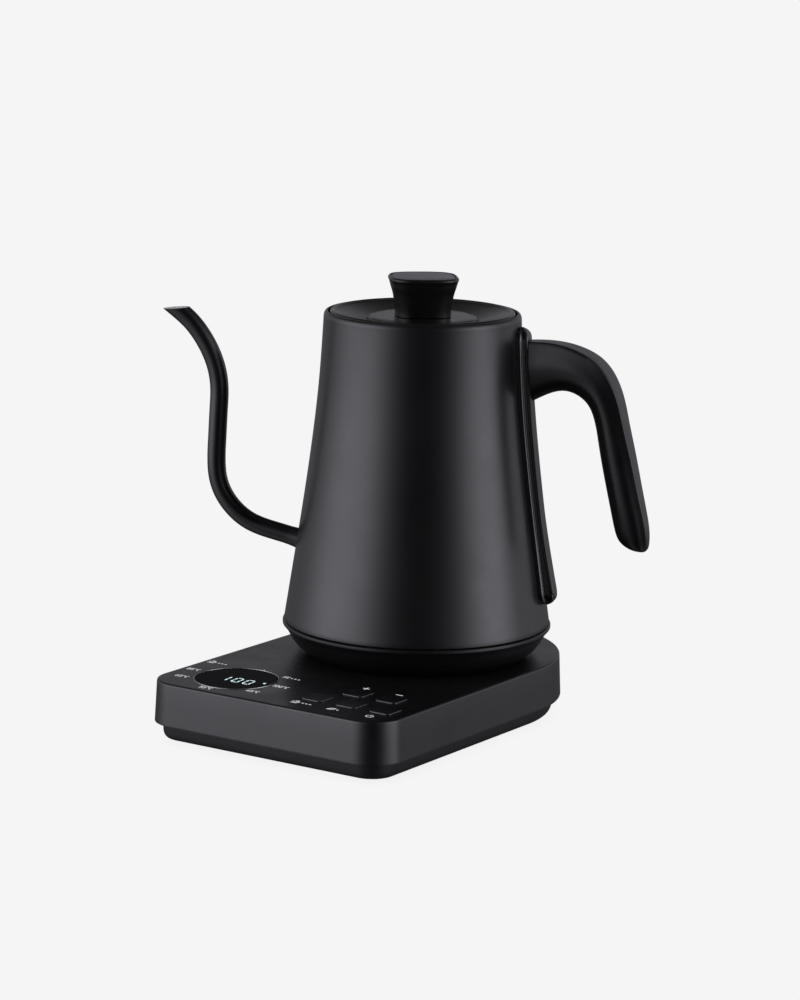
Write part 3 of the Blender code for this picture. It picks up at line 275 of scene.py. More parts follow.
# colour, roughness and its variation, specular, colour variation, scale of the grain (one per
# axis where brushed), its height in mm, scale of the blotches, edge wear
FINISHES = {
    "satin_black_coat": ((0.0040, 0.0040, 0.0044), 0.31, 0.025, 0.5, 0.18, 1500, 0.0035, 14, 0.1),
    "satin_black_cover": ((0.0042, 0.0042, 0.0047), 0.32, 0.03, 0.5, 0.18, 1400, 0.004, 18, 0.15),
    "handle_black": ((0.0042, 0.0042, 0.0044), 0.30, 0.04, 0.38, 0.2, 1300, 0.006, 26, 0.25),
    "rail_black": ((0.0046, 0.0044, 0.0044), 0.25, 0.03, 0.70, 0.2, 1300, 0.005, 26, 0.25),
    "rail_face_black": ((0.0100, 0.0100, 0.0106), 0.36, 0.03, 0.6, 0.2, 1400, 0.004, 24, 0.2),
    "lid_warm_grey": ((0.0060, 0.0052, 0.0046), 0.24, 0.04, 0.5, 0.2, 1200, 0.005, 30, 0.3),
    "knob_plate_grey": ((0.16, 0.156, 0.16), 0.33, 0.03, 0.55, 0.15, 1300, 0.004, 40, 0.3),
    "base_shell_black": ((0.0048, 0.0048, 0.0052), 0.31, 0.03, 0.5, 0.2, 1900, 0.007, 20, 0.35),
    "base_pan_black": ((0.0045, 0.0045, 0.0049), 0.5, 0.04, 0.24, 0.2, 1700, 0.01, 28, 0.3),
    "key_black": ((0.0075, 0.0075, 0.0080), 0.30, 0.05, 0.78, 0.2, 1600, 0.005, 60, 0.35),
    "lens_black": ((0.0022, 0.0022, 0.0026), 0.16, 0.02, 0.5, 0.2, 500, 0.0006, 40, 0.1),
    "soft_rubber": ((0.010, 0.010, 0.0105), 0.62, 0.08, 0.35, 0.25, 1100, 0.02, 40, 0.3),
    "cord_jacket": ((0.011, 0.011, 0.0115), 0.48, 0.07, 0.42, 0.2, 900, 0.015, 35, 0.2),
    "brushed_steel": (
        (0.60, 0.59, 0.57), 0.27, 0.06, 0.5, 0.08, (250, 250, 9000), 0.006, 30, 0.2),
    "pressed_steel": (
        (0.58, 0.57, 0.55), 0.30, 0.07, 0.5, 0.10, (6000, 240, 240), 0.006, 26, 0.2),
    "plated_screw": ((0.50, 0.51, 0.53), 0.32, 0.08, 0.5, 0.15, 1500, 0.008, 300, 0.4),
    # the spout's bore and lip: near-white and nearly matt, a painted highlight standing in for
    # the shine of bare steel
    "bare_mouth_painted_highlight": (
        (0.90, 0.90, 0.89), 0.45, 0.06, 1.0, 0.08, (300, 300, 6000), 0.004, 120, 0.2),
    "contact_brass": (
        (0.70, 0.52, 0.24), 0.26, 0.08, 0.5, 0.12, (400, 400, 5000), 0.004, 150, 0.3),
    "silicone_grey": ((0.34, 0.34, 0.33), 0.5, 0.08, 0.4, 0.1, 900, 0.01, 60, 0.1),
    "connector_black": ((0.012, 0.012, 0.0125), 0.42, 0.06, 0.5, 0.2, 1200, 0.01, 70, 0.35),
    "component_black": ((0.02, 0.021, 0.023), 0.45, 0.06, 0.5, 0.2, 1200, 0.01, 90, 0.4),
    "relay_blue": ((0.03, 0.09, 0.26), 0.36, 0.05, 0.5, 0.12, 900, 0.006, 60, 0.3),
    "lacquered_board": ((0.012, 0.10, 0.045), 0.34, 0.05, 0.5, 0.12, 900, 0.004, 60, 0.2),
}
EXTRAS = {
    "satin_black_coat": dict(smudge=0.03),
    "handle_black": dict(smudge=0.05),
    "lid_warm_grey": dict(glint=(1.0, 0.89, 0.80), dust=0.005),
    "knob_plate_grey": dict(metal=0.55),
    "base_shell_black": dict(smudge=0.04, dust=0.02),
    "key_black": dict(smudge=0.1),
    "lens_black": dict(ior=1.035, smudge=0.03),
    "soft_rubber": dict(dust=0.06),
    "cord_jacket": dict(dust=0.05),
    "brushed_steel": dict(metal=1.0),
    "pressed_steel": dict(metal=1.0, smudge=0.05),
    "plated_screw": dict(metal=1.0),
    "bare_mouth_painted_highlight": dict(metal=0.05),
    "contact_brass": dict(metal=1.0),
    "lacquered_board": dict(traces=(0.03, 0.17, 0.08)),
}


def print_finish(name, colour, glow, rough):
    """Printed or lit marks, slightly uneven in density; the emission is real light for the lit
    display digits and a painted glow for printed ink.
    """
    material, tree, coord = new_material(name)
    density = spread(tree, noise(tree, coord, scale=2600.0), low=0.0, high=1.0)
    gloss = noise(tree, coord, scale=700.0)
    relief = noise(tree, coord, scale=2200.0, detail=2.0)
    shaded(tree, {
        "Base Color": mixed(tree, density, scaled(colour, 0.86), colour),
        "Roughness": spread(tree, gloss, low=rough - 0.08, high=rough + 0.08),
        "Normal": bumped(tree, relief, distance=0.00001),
        "Emission Color": mixed(tree, density, scaled(colour, 0.9), colour),
        "Emission Strength": glow,
    })
    return material


MATERIALS = {name: surface(name, *row, **EXTRAS.get(name, {})) for name, row in FINISHES.items()}
# the printed white ink is given a glow of its own: painted light, since ink does not shine
MATERIALS["white_ink_painted_glow"] = print_finish(
    "white_ink_painted_glow", colour=(0.78, 0.78, 0.80), glow=0.42, rough=0.55)
MATERIALS["display_glow"] = print_finish(
    "display_glow", colour=(0.72, 0.93, 0.95), glow=0.95, rough=0.4)


# ---------------------------------------------------------------- lines and outlines
def arc_line(points, arc_steps):
    """A polyline through (r, z) or (r, z, radius), rounded where a radius is given."""
    line = []
    for i, point in enumerate(points):
        if len(point) < 3:
            line.append(point)
            continue
        corner = Vector(point[:2])
        back = Vector(points[i - 1][:2]) - corner
        ahead = Vector(points[(i + 1) % len(points)][:2]) - corner
        back_length, ahead_length = back.length, ahead.length
        back, ahead = back / back_length, ahead / ahead_length
        angle = back.angle(ahead)
        if angle > math.pi - 0.02:  # nearly straight
            line.append(point[:2])
            continue
        trim = min(point[2] / math.tan(angle / 2), back_length * 0.48, ahead_length * 0.48)
        radius = trim * math.tan(angle / 2)
        centre = corner + (back + ahead).normalized() * (radius / math.sin(angle / 2))
        start, end = corner + back * trim - centre, corner + ahead * trim - centre
        turn = math.atan2(start.x * end.y - start.y * end.x, start.dot(end))
        for k in range(arc_steps + 1):
            cos, sin = math.cos(turn * k / arc_steps), math.sin(turn * k / arc_steps)
            line.append((
                centre.x + start.x * cos - start.y * sin,
                centre.y + start.x * sin + start.y * cos,
            ))
    return line


def smooth_line(knots, count):
    """Points spread evenly along a natural cubic spline; up to three columns set its length."""
    knots = np.array(knots, float)
    lengths = np.linalg.norm(np.diff(knots[:, :3], axis=0), axis=1)
    places = np.concatenate([[0], np.cumsum(lengths)])
    total, gaps = len(places), np.diff(places)
    matrix, right_side = np.zeros((total, total)), np.zeros((total, knots.shape[1]))
    matrix[0, 0] = matrix[-1, -1] = 1
    for i in range(1, total - 1):
        before, after = gaps[i - 1], gaps[i]
        matrix[i, i - 1], matrix[i, i], matrix[i, i + 1] = before, 2 * (before + after), after
        right_side[i] = 6 * (
            (knots[i + 1] - knots[i]) / after - (knots[i] - knots[i - 1]) / before)
    bend = np.linalg.solve(matrix, right_side)
    line = []
    for place_along in np.linspace(0, places[-1], count):
        i = min(int(np.searchsorted(places, place_along, "right")) - 1, total - 2)
        left, done, gap = places[i + 1] - place_along, place_along - places[i], gaps[i]
        line.append(
            bend[i] * left**3 / (6 * gap) + bend[i + 1] * done**3 / (6 * gap)
            + (knots[i] / gap - bend[i] * gap / 6) * left
            + (knots[i + 1] / gap - bend[i + 1] * gap / 6) * done
        )
    return np.array(line)


BODY_LINE = smooth_line(BODY_SHAPE, 400)


def body_r(z):
    return float(np.interp(z - FOOT_H, BODY_LINE[:, 0], BODY_LINE[:, 1]))


def circle(radius, count, at=(0, 0)):
    angles = np.linspace(0, 2 * math.pi, count + 1)[:-1]
    return [(at[0] + radius * math.cos(a), at[1] + radius * math.sin(a)) for a in angles]


def rounded_square(size, radius, centre, steps=8):
    points = []
    for sx, sy, start in ((1, 1, 0), (-1, 1, 90), (-1, -1, 180), (1, -1, 270)):
        for i in range(steps + 1):
            angle = math.radians(start + 90 * i / steps)
            points.append((
                centre[0] + sx * (size / 2 - radius) + radius * math.cos(angle),
                centre[1] + sy * (size / 2 - radius) + radius * math.sin(angle),
            ))
    return points


def squircle(width, depth, power, steps):
    points = []
    for i in range(steps):
        angle = 2 * math.pi * i / steps
        cos, sin = math.cos(angle), math.sin(angle)
        points.append((
            width / 2 * math.copysign(abs(cos) ** (2 / power), cos),
            depth / 2 * math.copysign(abs(sin) ** (2 / power), sin),
        ))
    return points


def levelled(outline, z):
    return [(x, y, z) for x, y in outline]


def mirrored(side, middle):
    """Points (across, out) of one side, the middle point, then the side's mirror image."""
    return side + [middle] + [(-across, out) for across, out in reversed(side)]


# ---------------------------------------------------------------- solids
def settled(bm):
    bmesh.ops.remove_doubles(bm, verts=bm.verts, dist=1e-5)
    bmesh.ops.recalc_face_normals(bm, faces=bm.faces)
    if bm.calc_volume(signed=True) < 0:
        bmesh.ops.reverse_faces(bm, faces=bm.faces)
    return bm


def turned(points, steps, at=(0, 0), arc_steps=5):
    """A profile of (r, z) or (r, z, radius) turned about z; closed unless it ends on the axis."""
    bm = bmesh.new()
    rows = []
    for r, z in arc_line(points, arc_steps):
        if r < 1e-6:
            rows.append([bm.verts.new((at[0], at[1], z))])
            continue
        angles = [2 * math.pi * k / steps for k in range(steps)]
        rows.append([
            bm.verts.new((at[0] + r * math.cos(a), at[1] + r * math.sin(a), z)) for a in angles
        ])
    pairs = list(zip(rows, rows[1:]))
    if len(rows[0]) > 1 or len(rows[-1]) > 1:
        pairs.append((rows[-1], rows[0]))
    for this, after in pairs:
        for k in range(steps):
            j = (k + 1) % steps
            if len(this) > 1 and len(after) > 1:
                bm.faces.new((this[k], this[j], after[j], after[k]))
            elif len(this) > 1:
                bm.faces.new((this[k], this[j], after[0]))
            elif len(after) > 1:
                bm.faces.new((this[0], after[j], after[k]))
    return settled(bm)


def skinned(rings, loop=False):
    """Quads between neighbouring rings, and from last to first in a loop."""
    bm = bmesh.new()
    rows = [[bm.verts.new(point) for point in ring] for ring in rings]
    for this, after in zip(rows, rows[1:] + (rows[:1] if loop else [])):
        for i in range(len(this)):
            j = (i + 1) % len(this)
            bm.faces.new((this[i], this[j], after[j], after[i]))
    return bm, rows


def lofted(rings):
    bm, rows = skinned(rings)
    bm.faces.new(rows[0][::-1])
    bm.faces.new(rows[-1])
    return settled(bm)


def stacked(outline, levels):
    """A loft through outline(size) at each (size, z)."""
    return lofted([levelled(outline(size), z) for size, z in levels])


def swept(points, radii, sides):
    """A round bar along points, its sections square to the path and free of twist."""
    points = [Vector(point) for point in points]
    last = len(points) - 1
    tangents = [
        (points[min(i + 1, last)] - points[max(i - 1, 0)]).normalized()
        for i in range(len(points))
    ]
    side = tangents[0].orthogonal().normalized()
    angles = [2 * math.pi * k / sides for k in range(sides)]
    rings = []
    for point, tangent, radius in zip(points, tangents, radii):
        side = (side - tangent * side.dot(tangent)).normalized()
        other = tangent.cross(side)
        rings.append([
            point + (side * math.cos(a) + other * math.sin(a)) * radius for a in angles
        ])
    return lofted(rings)


def bar(points, radius, sides):
    return swept(points, [radius] * len(points), sides)


def cylinder(radius, bottom, top, at=(0, 0), steps=48):
    return turned([(0, bottom), (radius, bottom), (radius, top), (0, top)], steps, at)


def tipped(bm, degrees, axis, to):
    """The shape rotated about the origin, then moved."""
    rotation = Matrix.Rotation(math.radians(degrees), 3, axis)
    bmesh.ops.rotate(bm, verts=bm.verts, cent=(0, 0, 0), matrix=rotation)
    bmesh.ops.translate(bm, verts=bm.verts, vec=to)
    return bm


# ---------------------------------------------------------------- objects
def bare(bm, at=None):
    """A mesh object in metres, not yet in the scene."""
    mesh = bpy.data.meshes.new("work")
    bm.to_mesh(mesh)
    bm.free()
    mesh.transform((at or Matrix.Identity(4)) @ Matrix.Diagonal((MM, MM, MM, 1)))
    return bpy.data.objects.new("work", mesh)


def cut(bm, tools, at, joined=()):
    """The shape with the joined ones added, then the tools taken away."""
    target = bare(bm)
    collection = bpy.context.scene.collection
    collection.objects.link(target)
    helpers = []
    for group, operation in ((joined, "UNION"), (tools, "DIFFERENCE")):
        for tool in group:
            helper = bare(tool)
            collection.objects.link(helper)
            helpers.append(helper)
            modifier = target.modifiers.new("b", "BOOLEAN")
            modifier.operation = operation
            modifier.solver = "EXACT"
            modifier.object = helper
    bpy.context.view_layer.update()
    evaluated = target.evaluated_get(bpy.context.evaluated_depsgraph_get())
    mesh = bpy.data.meshes.new_from_object(evaluated)
    for used in helpers + [target]:
        bpy.data.objects.remove(used, do_unlink=True)
    mesh.transform(at)
    return bpy.data.objects.new("work", mesh)


def place(obj, name, body, materials, replaces=None, sharp=28):
    """Puts an object in the scene; edges over `sharp` degrees stay hard."""
    obj.name = name
    obj.data.name = name
    bpy.context.scene.collection.objects.link(obj)
    obj.data.shade_smooth()
    obj.data.set_sharp_from_angle(angle=math.radians(sharp))
    # clearing the materials can reset the faces' indices, so they are put back
    indices = np.zeros(len(obj.data.polygons), np.int32)
    obj.data.polygons.foreach_get("material_index", indices)
    obj.data.materials.clear()
    for material in materials:
        obj.data.materials.append(MATERIALS[material])
    indices = np.minimum(indices, len(materials) - 1)
    obj.data.polygons.foreach_set("material_index", indices)
    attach(obj, body)
    if replaces:
        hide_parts(replaces)


def add(bm, name, body, material, replaces=None, sharp=28, tools=(), joined=()):
    """Meshes a shape in its body's frame and places it."""
    at = FRAMES.get(body, AT_BASE)
    obj = cut(bm, tools, at, joined) if tools or joined else bare(bm, at)
    place(obj, name, body, [material], replaces, sharp)


# ---------------------------------------------------------------- kettle body
def add_body():
    wall = [(body_r(z), z) for z in np.linspace(SHOULDER_Z - 0.4, BODY_BOTTOM + 0.5, 80)]
    inside = [
        (body_r(z) - BODY_WALL, z) for z in np.linspace(BODY_BOTTOM + 0.2, LEDGE_Z - 2.0, 60)
    ]
    shoulder = [
        (
            RIM_R + 0.5 + (wall[0][0] - RIM_R - 0.5) * math.sin(a),
            SHOULDER_Z + (RIM_TOP - SHOULDER_Z) * math.cos(a),
        )
        for a in np.radians(np.linspace(0, 86, 14))
    ]
    rim = [(RIM_R, RIM_TOP - 0.5), (RIM_R + 0.12, RIM_TOP - 0.14)]
    bottom_r = body_r(BODY_BOTTOM)
    bottom_edge = [(bottom_r - 0.12, BODY_BOTTOM + 0.1), (bottom_r - 0.4, BODY_BOTTOM)]
    mouth = [  # r, z, rounding
        (body_r(LEDGE_Z) - BODY_WALL - 0.9, LEDGE_Z - 1.2),
        (MOUTH_R + 0.9, LEDGE_Z - 1.1, 0.3),
        (MOUTH_R + 0.9, LEDGE_Z - 3.2, 0.2),
        (MOUTH_R, LEDGE_Z - 3.2, 0.2),
        (MOUTH_R, LEDGE_Z - 0.6, 0.5),
        (MOUTH_R + 0.6, LEDGE_Z, 0.5),
        (RIM_R, LEDGE_Z),
    ]
    port_line = [(-r, 0, z + FOOT_H) for r, z in ((50.0, 80.2), (61.0, 82.9), (72.0, 85.6))]
    port = bar(port_line, SPOUT_R - SPOUT_WALL, 24)
    profile = rim + shoulder + wall + bottom_edge + inside + mouth
    shell = cut(turned(profile, 200), [port], AT_KETTLE)

    # bare steel on the inner faces below the ledge
    to_kettle = AT_KETTLE.inverted()
    steel = []
    for face in shell.data.polygons:
        centre = to_kettle @ face.center
        r, z = math.hypot(centre.x, centre.y) / MM, centre.z / MM
        normal = to_kettle.to_3x3() @ face.normal
        inward = (normal.x * centre.x + normal.y * centre.y) < 0
        steel.append(1 if (inward and z < LEDGE_Z - 0.6 and r < body_r(z) - 0.5) else 0)
    shell.data.polygons.foreach_set("material_index", steel)
    materials = ["satin_black_coat", "brushed_steel"]
    place(shell, "body_shell", "kettle", materials, "kettle_body", 40)


# ---------------------------------------------------------------- spout
def add_spout():
    """A thin bent tube, wider at the body and cut off near level at the lip."""
    path = smooth_line([(-r, 0, z + FOOT_H) for r, z in SPOUT_PATH], 150)
    flare = [
        SPOUT_R * (1.0 + 0.28 * max(0.0, 1 - abs(point[0] + 56.0) / 13.0) ** 1.5)
        for point in path
    ]
    outer = swept(path, flare, 48)
    beyond = path[-1] + (path[-1] - path[-2]) * 4
    bore_line = np.vstack([[(-38.0, 0, 76.8 + FOOT_H)], path, [beyond]])
    bore = bar(bore_line, SPOUT_R - SPOUT_WALL, 40)
    block = lofted([
        levelled([(-30, -20), (30, -20), (30, 20), (-30, 20)], z) for z in (0.0, 40.0)
    ])
    above_lip = tipped(block, -SPOUT_LIP_TILT, "Y", to=(-128.6, 0, SPOUT_LIP_Z))
    wall = [(body_r(z) + 0.02, z) for z in np.linspace(SHOULDER_Z, BODY_BOTTOM, 60)]
    inside_body = turned([(0, RIM_TOP)] + wall + [(0, BODY_BOTTOM)], 160)
    spout = cut(outer, [above_lip, inside_body, bore], AT_KETTLE)

    # bare metal in the bore and on the lip, coloured near-white and matt as a painted highlight
    # in place of the steel's reflection
    to_local = np.array(AT_KETTLE.inverted())
    rotation = to_local[:3, :3].T
    faces = spout.data.polygons
    centres = np.array([tuple(face.center) for face in faces]) @ rotation + to_local[:3, 3]
    facing = np.array([tuple(face.normal) for face in faces]) @ rotation
    centres /= MM
    nearest = path[np.argmin(((centres[:, None] - path[None]) ** 2).sum(2), axis=1)]
    tilt = math.radians(SPOUT_LIP_TILT)
    along_lip = facing @ np.array([-math.sin(tilt), 0, math.cos(tilt)]) > 0.995
    on_lip = along_lip & (centres[:, 0] < -120)
    bare_metal_painted_bright = (((centres - nearest) * facing).sum(1) < -1.0) | on_lip
    faces.foreach_set("material_index", bare_metal_painted_bright.astype(np.int32))
    materials = ["satin_black_coat", "bare_mouth_painted_highlight"]
    place(spout, "spout_tube", "kettle", materials, "spout", 35)


def add_spout_bead(count=48):
    """Weld bead where the spout meets the wall."""
    line = []
    for k in range(count):
        angle = 2 * math.pi * k / count
        y, rise = 6.05 * math.cos(angle), 6.25 * math.sin(angle)
        z = 83.1 + FOOT_H + rise
        line.append((-math.sqrt((body_r(z) + 0.05) ** 2 - y * y), y, z))
    angles = [2 * math.pi * j / 10 for j in range(10)]
    rings = []
    for i, point in enumerate(line):
        middle = Vector(point)
        tangent = (Vector(line[(i + 1) % count]) - Vector(line[i - 1])).normalized()
        out = Vector((middle.x, middle.y, 0)).normalized()
        side = tangent.cross(out).normalized()
        rings.append([
            middle + out * (0.55 * math.sin(a)) + side * (0.8 * math.cos(a)) for a in angles
        ])
    bead = settled(skinned(rings, loop=True)[0])
    add(bead, "spout_fillet", "kettle", "satin_black_coat", sharp=60)


# ---------------------------------------------------------------- kettle's bottom cover
COVER_TOP = BODY_BOTTOM - 0.5
KETTLE_FOOT = SEAT_Z + GAP


def add_bottom_cover():
    profile = [  # r, z, rounding
        (67.25, COVER_TOP, 0.3), (68.05, COVER_TOP - 0.45, 0.3), (68.0, COVER_TOP - 1.75, 0.4),
        (66.9, COVER_TOP - 2.9, 1.0), (65.7, COVER_TOP - 4.6, 2.5), (63.5, COVER_TOP - 8.6, 3.0),
        (60.9, COVER_TOP - 12.0, 4.0), (56.4, KETTLE_FOOT + 1.1, 1.0), (55.2, KETTLE_FOOT, 0.4),
        (52.0, KETTLE_FOOT, 0.3), (50.6, KETTLE_FOOT + 1.4, 0.4), (20.8, KETTLE_FOOT + 1.4, 0.4),
        (20.8, KETTLE_FOOT + 3.4, 0.3), (52.5, KETTLE_FOOT + 3.4), (58.9, COVER_TOP - 11.4),
        (62.0, COVER_TOP - 7.4), (64.0, COVER_TOP - 3.6), (65.4, COVER_TOP),
    ]
    screws = [(44.0 * math.cos(a), 44.0 * math.sin(a)) for a in np.radians((60, 180, 300))]
    tools = []
    for radius, top, steps in ((3.5, 2.4, 32), (1.9, 6, 24)):  # head recesses, then holes
        for at in screws:
            tools.append(cylinder(radius, KETTLE_FOOT - 2, KETTLE_FOOT + top, at, steps))
    add(turned(profile, 180, arc_steps=6), "bottom_shell", "kettle", "satin_black_cover",
        "bottom_cover", 35, tools)


# ---------------------------------------------------------------- handle
def rail_out(z):
    """How far the rail stands off the body: further near its bottom."""
    return RAIL_OUT + 1.9 * max(0.0, (FOOT_H + 105 - z) / 46.0) ** 1.5


def end_share(z, top, bottom, reach):
    """1 along the strip, falling in a quarter circle to 0 within `reach` of its ends."""
    from_end = min(top - z, z - bottom)
    if from_end >= reach:
        return 1.0
    return math.sqrt(max(0.0, 1 - ((reach - from_end) / reach) ** 2))


def rail_levels(top, bottom, reach, count):
    near = [reach * (1 - math.cos(a)) for a in np.radians(np.linspace(0, 90, 12))]
    middle = list(np.linspace(top - reach, bottom + reach, count))[1:-1]
    return [top - step for step in near] + middle + [bottom + step for step in near[::-1]]


def rail():
    rings = []
    for z in rail_levels(RAIL_TOP, RAIL_BOTTOM, 6.5, 44):
        share = max(0.10, end_share(z, RAIL_TOP, RAIL_BOTTOM, 6.5))
        half = RAIL_HALF * share
        out_share = max(0.35, end_share(z, RAIL_TOP, RAIL_BOTTOM, 5.2))
        out = GAP + (rail_out(z) - GAP) * out_share
        edge = min(0.9, half * 0.45, (out - GAP) * 0.45)
        # the raised part is a little narrower than the foot that lies on the body
        raised = half - 1.30 * share
        ledge = min(2.1, 0.42 * out)
        step = min(share, ledge / 1.1)
        side = [
            (-half, 0.05), (-half, ledge - 0.80 * step),
            (-half + 0.06 * step, ledge - 0.68 * step), (-half + 0.86 * step, ledge - 0.02),
            (-raised - 0.10 * step, ledge), (-raised, ledge + 0.12), (-raised, out - edge),
        ]
        side += [
            (-raised + edge - edge * math.cos(a), out - edge + edge * math.sin(a))
            for a in np.radians((15, 30, 45, 60, 75))
        ]
        side += [(-raised + edge, out), (-raised * 0.4, out + 0.03 * raised)]
        line = mirrored(side, (0.0, out + 0.04 * raised))
        line += [(half * 0.5, 0.05), (0.0, 0.05), (-half * 0.5, 0.05)]
        radius = body_r(z)
        rings.append([
            # the foot follows the body's curve
            (math.sqrt((radius + h) ** 2 - y * y) if h <= 0.051 else radius + h, y, z)
            for y, h in line
        ])
    return lofted(rings)


def strip(top, bottom, half, low, high, reach, edge=0.0):
    """A strip along the rail, from `low` to `high` about the rail's outer face."""
    rings = []
    for z in rail_levels(top, bottom, reach, 40):
        width = half * max(0.12, end_share(z, top, bottom, reach))
        radius = body_r(z)
        edge_here = min(edge, width * 0.4)
        face = radius + (rail_out(z) + high)
        back = radius + (rail_out(z) + low)
        side = [
            (-width, back), (-width, face - edge_here),
            (-width + edge_here * 0.3, face - edge_here * 0.3), (-width + edge_here, face),
        ]
        line = mirrored(side, (0, face + 0.10 * (width / half))) + [(0, back)]
        rings.append([(x, y, z) for y, x in line])
    return lofted(rings)


def grip_ring(station):
    """A section with a crisp flat back, full sides and a round front."""
    outer_r, outer_z, inner_r, inner_z, half, flat_half = station
    outer = Vector((outer_r, 0, outer_z + FOOT_H))
    inner = Vector((inner_r, 0, inner_z + FOOT_H))
    flat = flat_half / half
    step = 0.50 / max(1.5, (outer - inner).length)
    edge = min(0.60 / half, 0.5 * (1 - flat))
    # share of the way from outer to inner edge, share of the half width
    curve = smooth_line([
        (step, flat + edge), (step + (0.30 - step) * 0.5, (flat + edge + 0.965) / 2),
        (0.30, 0.97), (0.46, 1.0), (0.65, 0.91), (0.83, 0.69), (0.955, 0.36), (1.0, 0.0),
    ], 26)
    side = [
        (0.0, 0.0), (0.0, flat * 0.5), (0.0, flat * 0.97), (step * 0.06, flat),
        (step * 0.94, flat + edge * 0.96),
    ]
    side += [(min(1.0, along), max(0.0, wide)) for along, wide in curve]
    ring = []
    for along, wide in side + [(along, -wide) for along, wide in side[-2:0:-1]]:
        point = outer.lerp(inner, along)
        ring.append((point.x, wide * half, point.z))
    return ring


def add_handle():
    pocket = strip(
        top=RAIL_TOP - 7.3, bottom=RAIL_BOTTOM + 3.2, half=COVER_HALF + 0.45,
        low=-1.5, high=4.0, reach=4.8)
    add(rail(), "rail_strip", "kettle", "rail_black", "handle_rail", 38,
        [pocket])
    face = strip(
        top=RAIL_TOP - 7.7, bottom=RAIL_BOTTOM + 3.6, half=COVER_HALF,
        low=-1.2, high=0.2, reach=4.4, edge=0.5)
    add(face, "rail_face", "kettle", "rail_face_black", "rail_cover", 38)
    stations = [(*outer, *inner, half, flat) for outer, inner, half, flat in GRIP_STATIONS]
    rings = [grip_ring(station) for station in smooth_line(stations, 110)]
    # the first section follows the face of the rail
    rings[0] = [(body_r(z) + rail_out(z) + 0.30, y, z) for x, y, z in rings[0]]
    add(lofted(rings), "grip_body", "kettle", "handle_black", "handle_grip", 34)


# ---------------------------------------------------------------- connector under the kettle
def add_connector():
    top, foot = FOOT_H + 43.2, KETTLE_FOOT + 0.6
    under = top - 3.7
    cup = [
        (0, top), (19.0, top, 0.5), (20.3, top - 1.2, 0.5), (20.3, foot, 0.4),
        (17.2, foot, 0.4), (16.4, foot + 1.2, 0.4), (16.4, top - 3.4, 0.3), (0, top - 3.4),
    ]
    add(turned(cup, 96), "connector_cup", "kettle", "connector_black",
        "kettle_connector")
    pin = [
        (0, under), (2.4, under), (2.4, FOOT_H + 27.2, 0.5), (1.5, FOOT_H + 25.9, 0.6),
        (0, FOOT_H + 25.5),
    ]
    add(turned(pin, 40), "contact_pin", "kettle", "contact_brass", "kettle_contact_pin")
    ring = [
        (9.0, under), (10.2, under), (10.2, FOOT_H + 31.8, 0.4), (9.0, FOOT_H + 31.8, 0.4),
    ]
    add(turned(ring, 72), "contact_ring", "kettle", "contact_brass",
        "kettle_contact_ring")


# ---------------------------------------------------------------- lid
SKIRT_OUT, SKIRT_IN, SKIRT_Z = 43.15, 41.5, LEDGE_Z - 7.6
KNOB_FOOT = LID_DISC_Z + 0.1 + GAP
PLATE = 0.90  # the plate's share of the knob's width


def add_lid():
    disc, ring, rest = LID_DISC_R, LID_RING_R, LEDGE_Z + GAP
    shell = [  # r, z, rounding
        (2.2, LID_DISC_Z + 0.1), (disc - 3.6, LID_DISC_Z, 6.0),
        (disc - 0.9, LID_DISC_Z - 0.4, 1.4), (disc, LID_DISC_Z - 1.1, 0.8),
        (disc + 0.2, LID_DISC_Z - 2.3, 0.5), (disc + 1.4, LID_DISC_Z - 2.5, 1.0),
        (43.3, LID_TOP - 1.0, 0.5), (43.7, LID_TOP - 0.35, 0.3), (44.6, LID_TOP, 0.5),
        (45.7, LID_TOP - 0.05, 0.5), (ring - 0.45, LID_TOP - 0.9, 0.4),
        (ring - 0.45, rest + 0.9, 0.3), (ring - 0.9, rest, 0.3), (SKIRT_OUT, rest, 0.4),
        (SKIRT_OUT, SKIRT_Z + 5.0, 0.2), (SKIRT_OUT - 1.0, SKIRT_Z + 5.0, 0.2),
        (SKIRT_OUT - 1.0, SKIRT_Z + 1.4, 0.2), (SKIRT_OUT, SKIRT_Z + 1.4, 0.2),
        (SKIRT_OUT, SKIRT_Z, 0.4), (SKIRT_IN, SKIRT_Z, 0.4), (SKIRT_IN, LEDGE_Z + 1.2, 0.8),
        (disc + 1.0, LEDGE_Z - 1.3, 0.6), (disc - 1.6, LEDGE_Z - 1.3, 0.6),
        (disc - 3.4, LEDGE_Z + 0.9, 0.6), (2.2, LEDGE_Z + 0.9),
    ]
    add(turned(shell, 180), "lid_shell", "lid", "lid_warm_grey", "lid_top", 40)
    seal = [
        (42.5, SKIRT_Z + 4.6), (43.3, SKIRT_Z + 4.3, 0.25), (42.9, SKIRT_Z + 3.2, 0.4),
        (43.3, SKIRT_Z + 2.1, 0.25), (42.5, SKIRT_Z + 1.8),
    ]
    add(turned(seal, 144), "seal_ring", "lid", "silicone_grey", "lid_seal")
    liner = [
        (0, SKIRT_Z + 1.4), (38.6, SKIRT_Z + 1.4, 1.0), (40.4, SKIRT_Z + 2.2, 0.8),
        (40.6, SKIRT_Z + 6.0, 0.2), (41.2, SKIRT_Z + 6.0, 0.2), (41.2, SKIRT_Z + 1.6, 1.0),
        (39.0, SKIRT_Z + 0.6, 1.0), (0, SKIRT_Z + 0.6),
    ]
    add(turned(liner, 120), "liner_pan", "lid", "pressed_steel", "lid_liner")


def knob_outline(share, grow=0.0):
    return squircle(KNOB_W * share + grow, KNOB_DEPTH * share + grow, KNOB_POWER, 96)


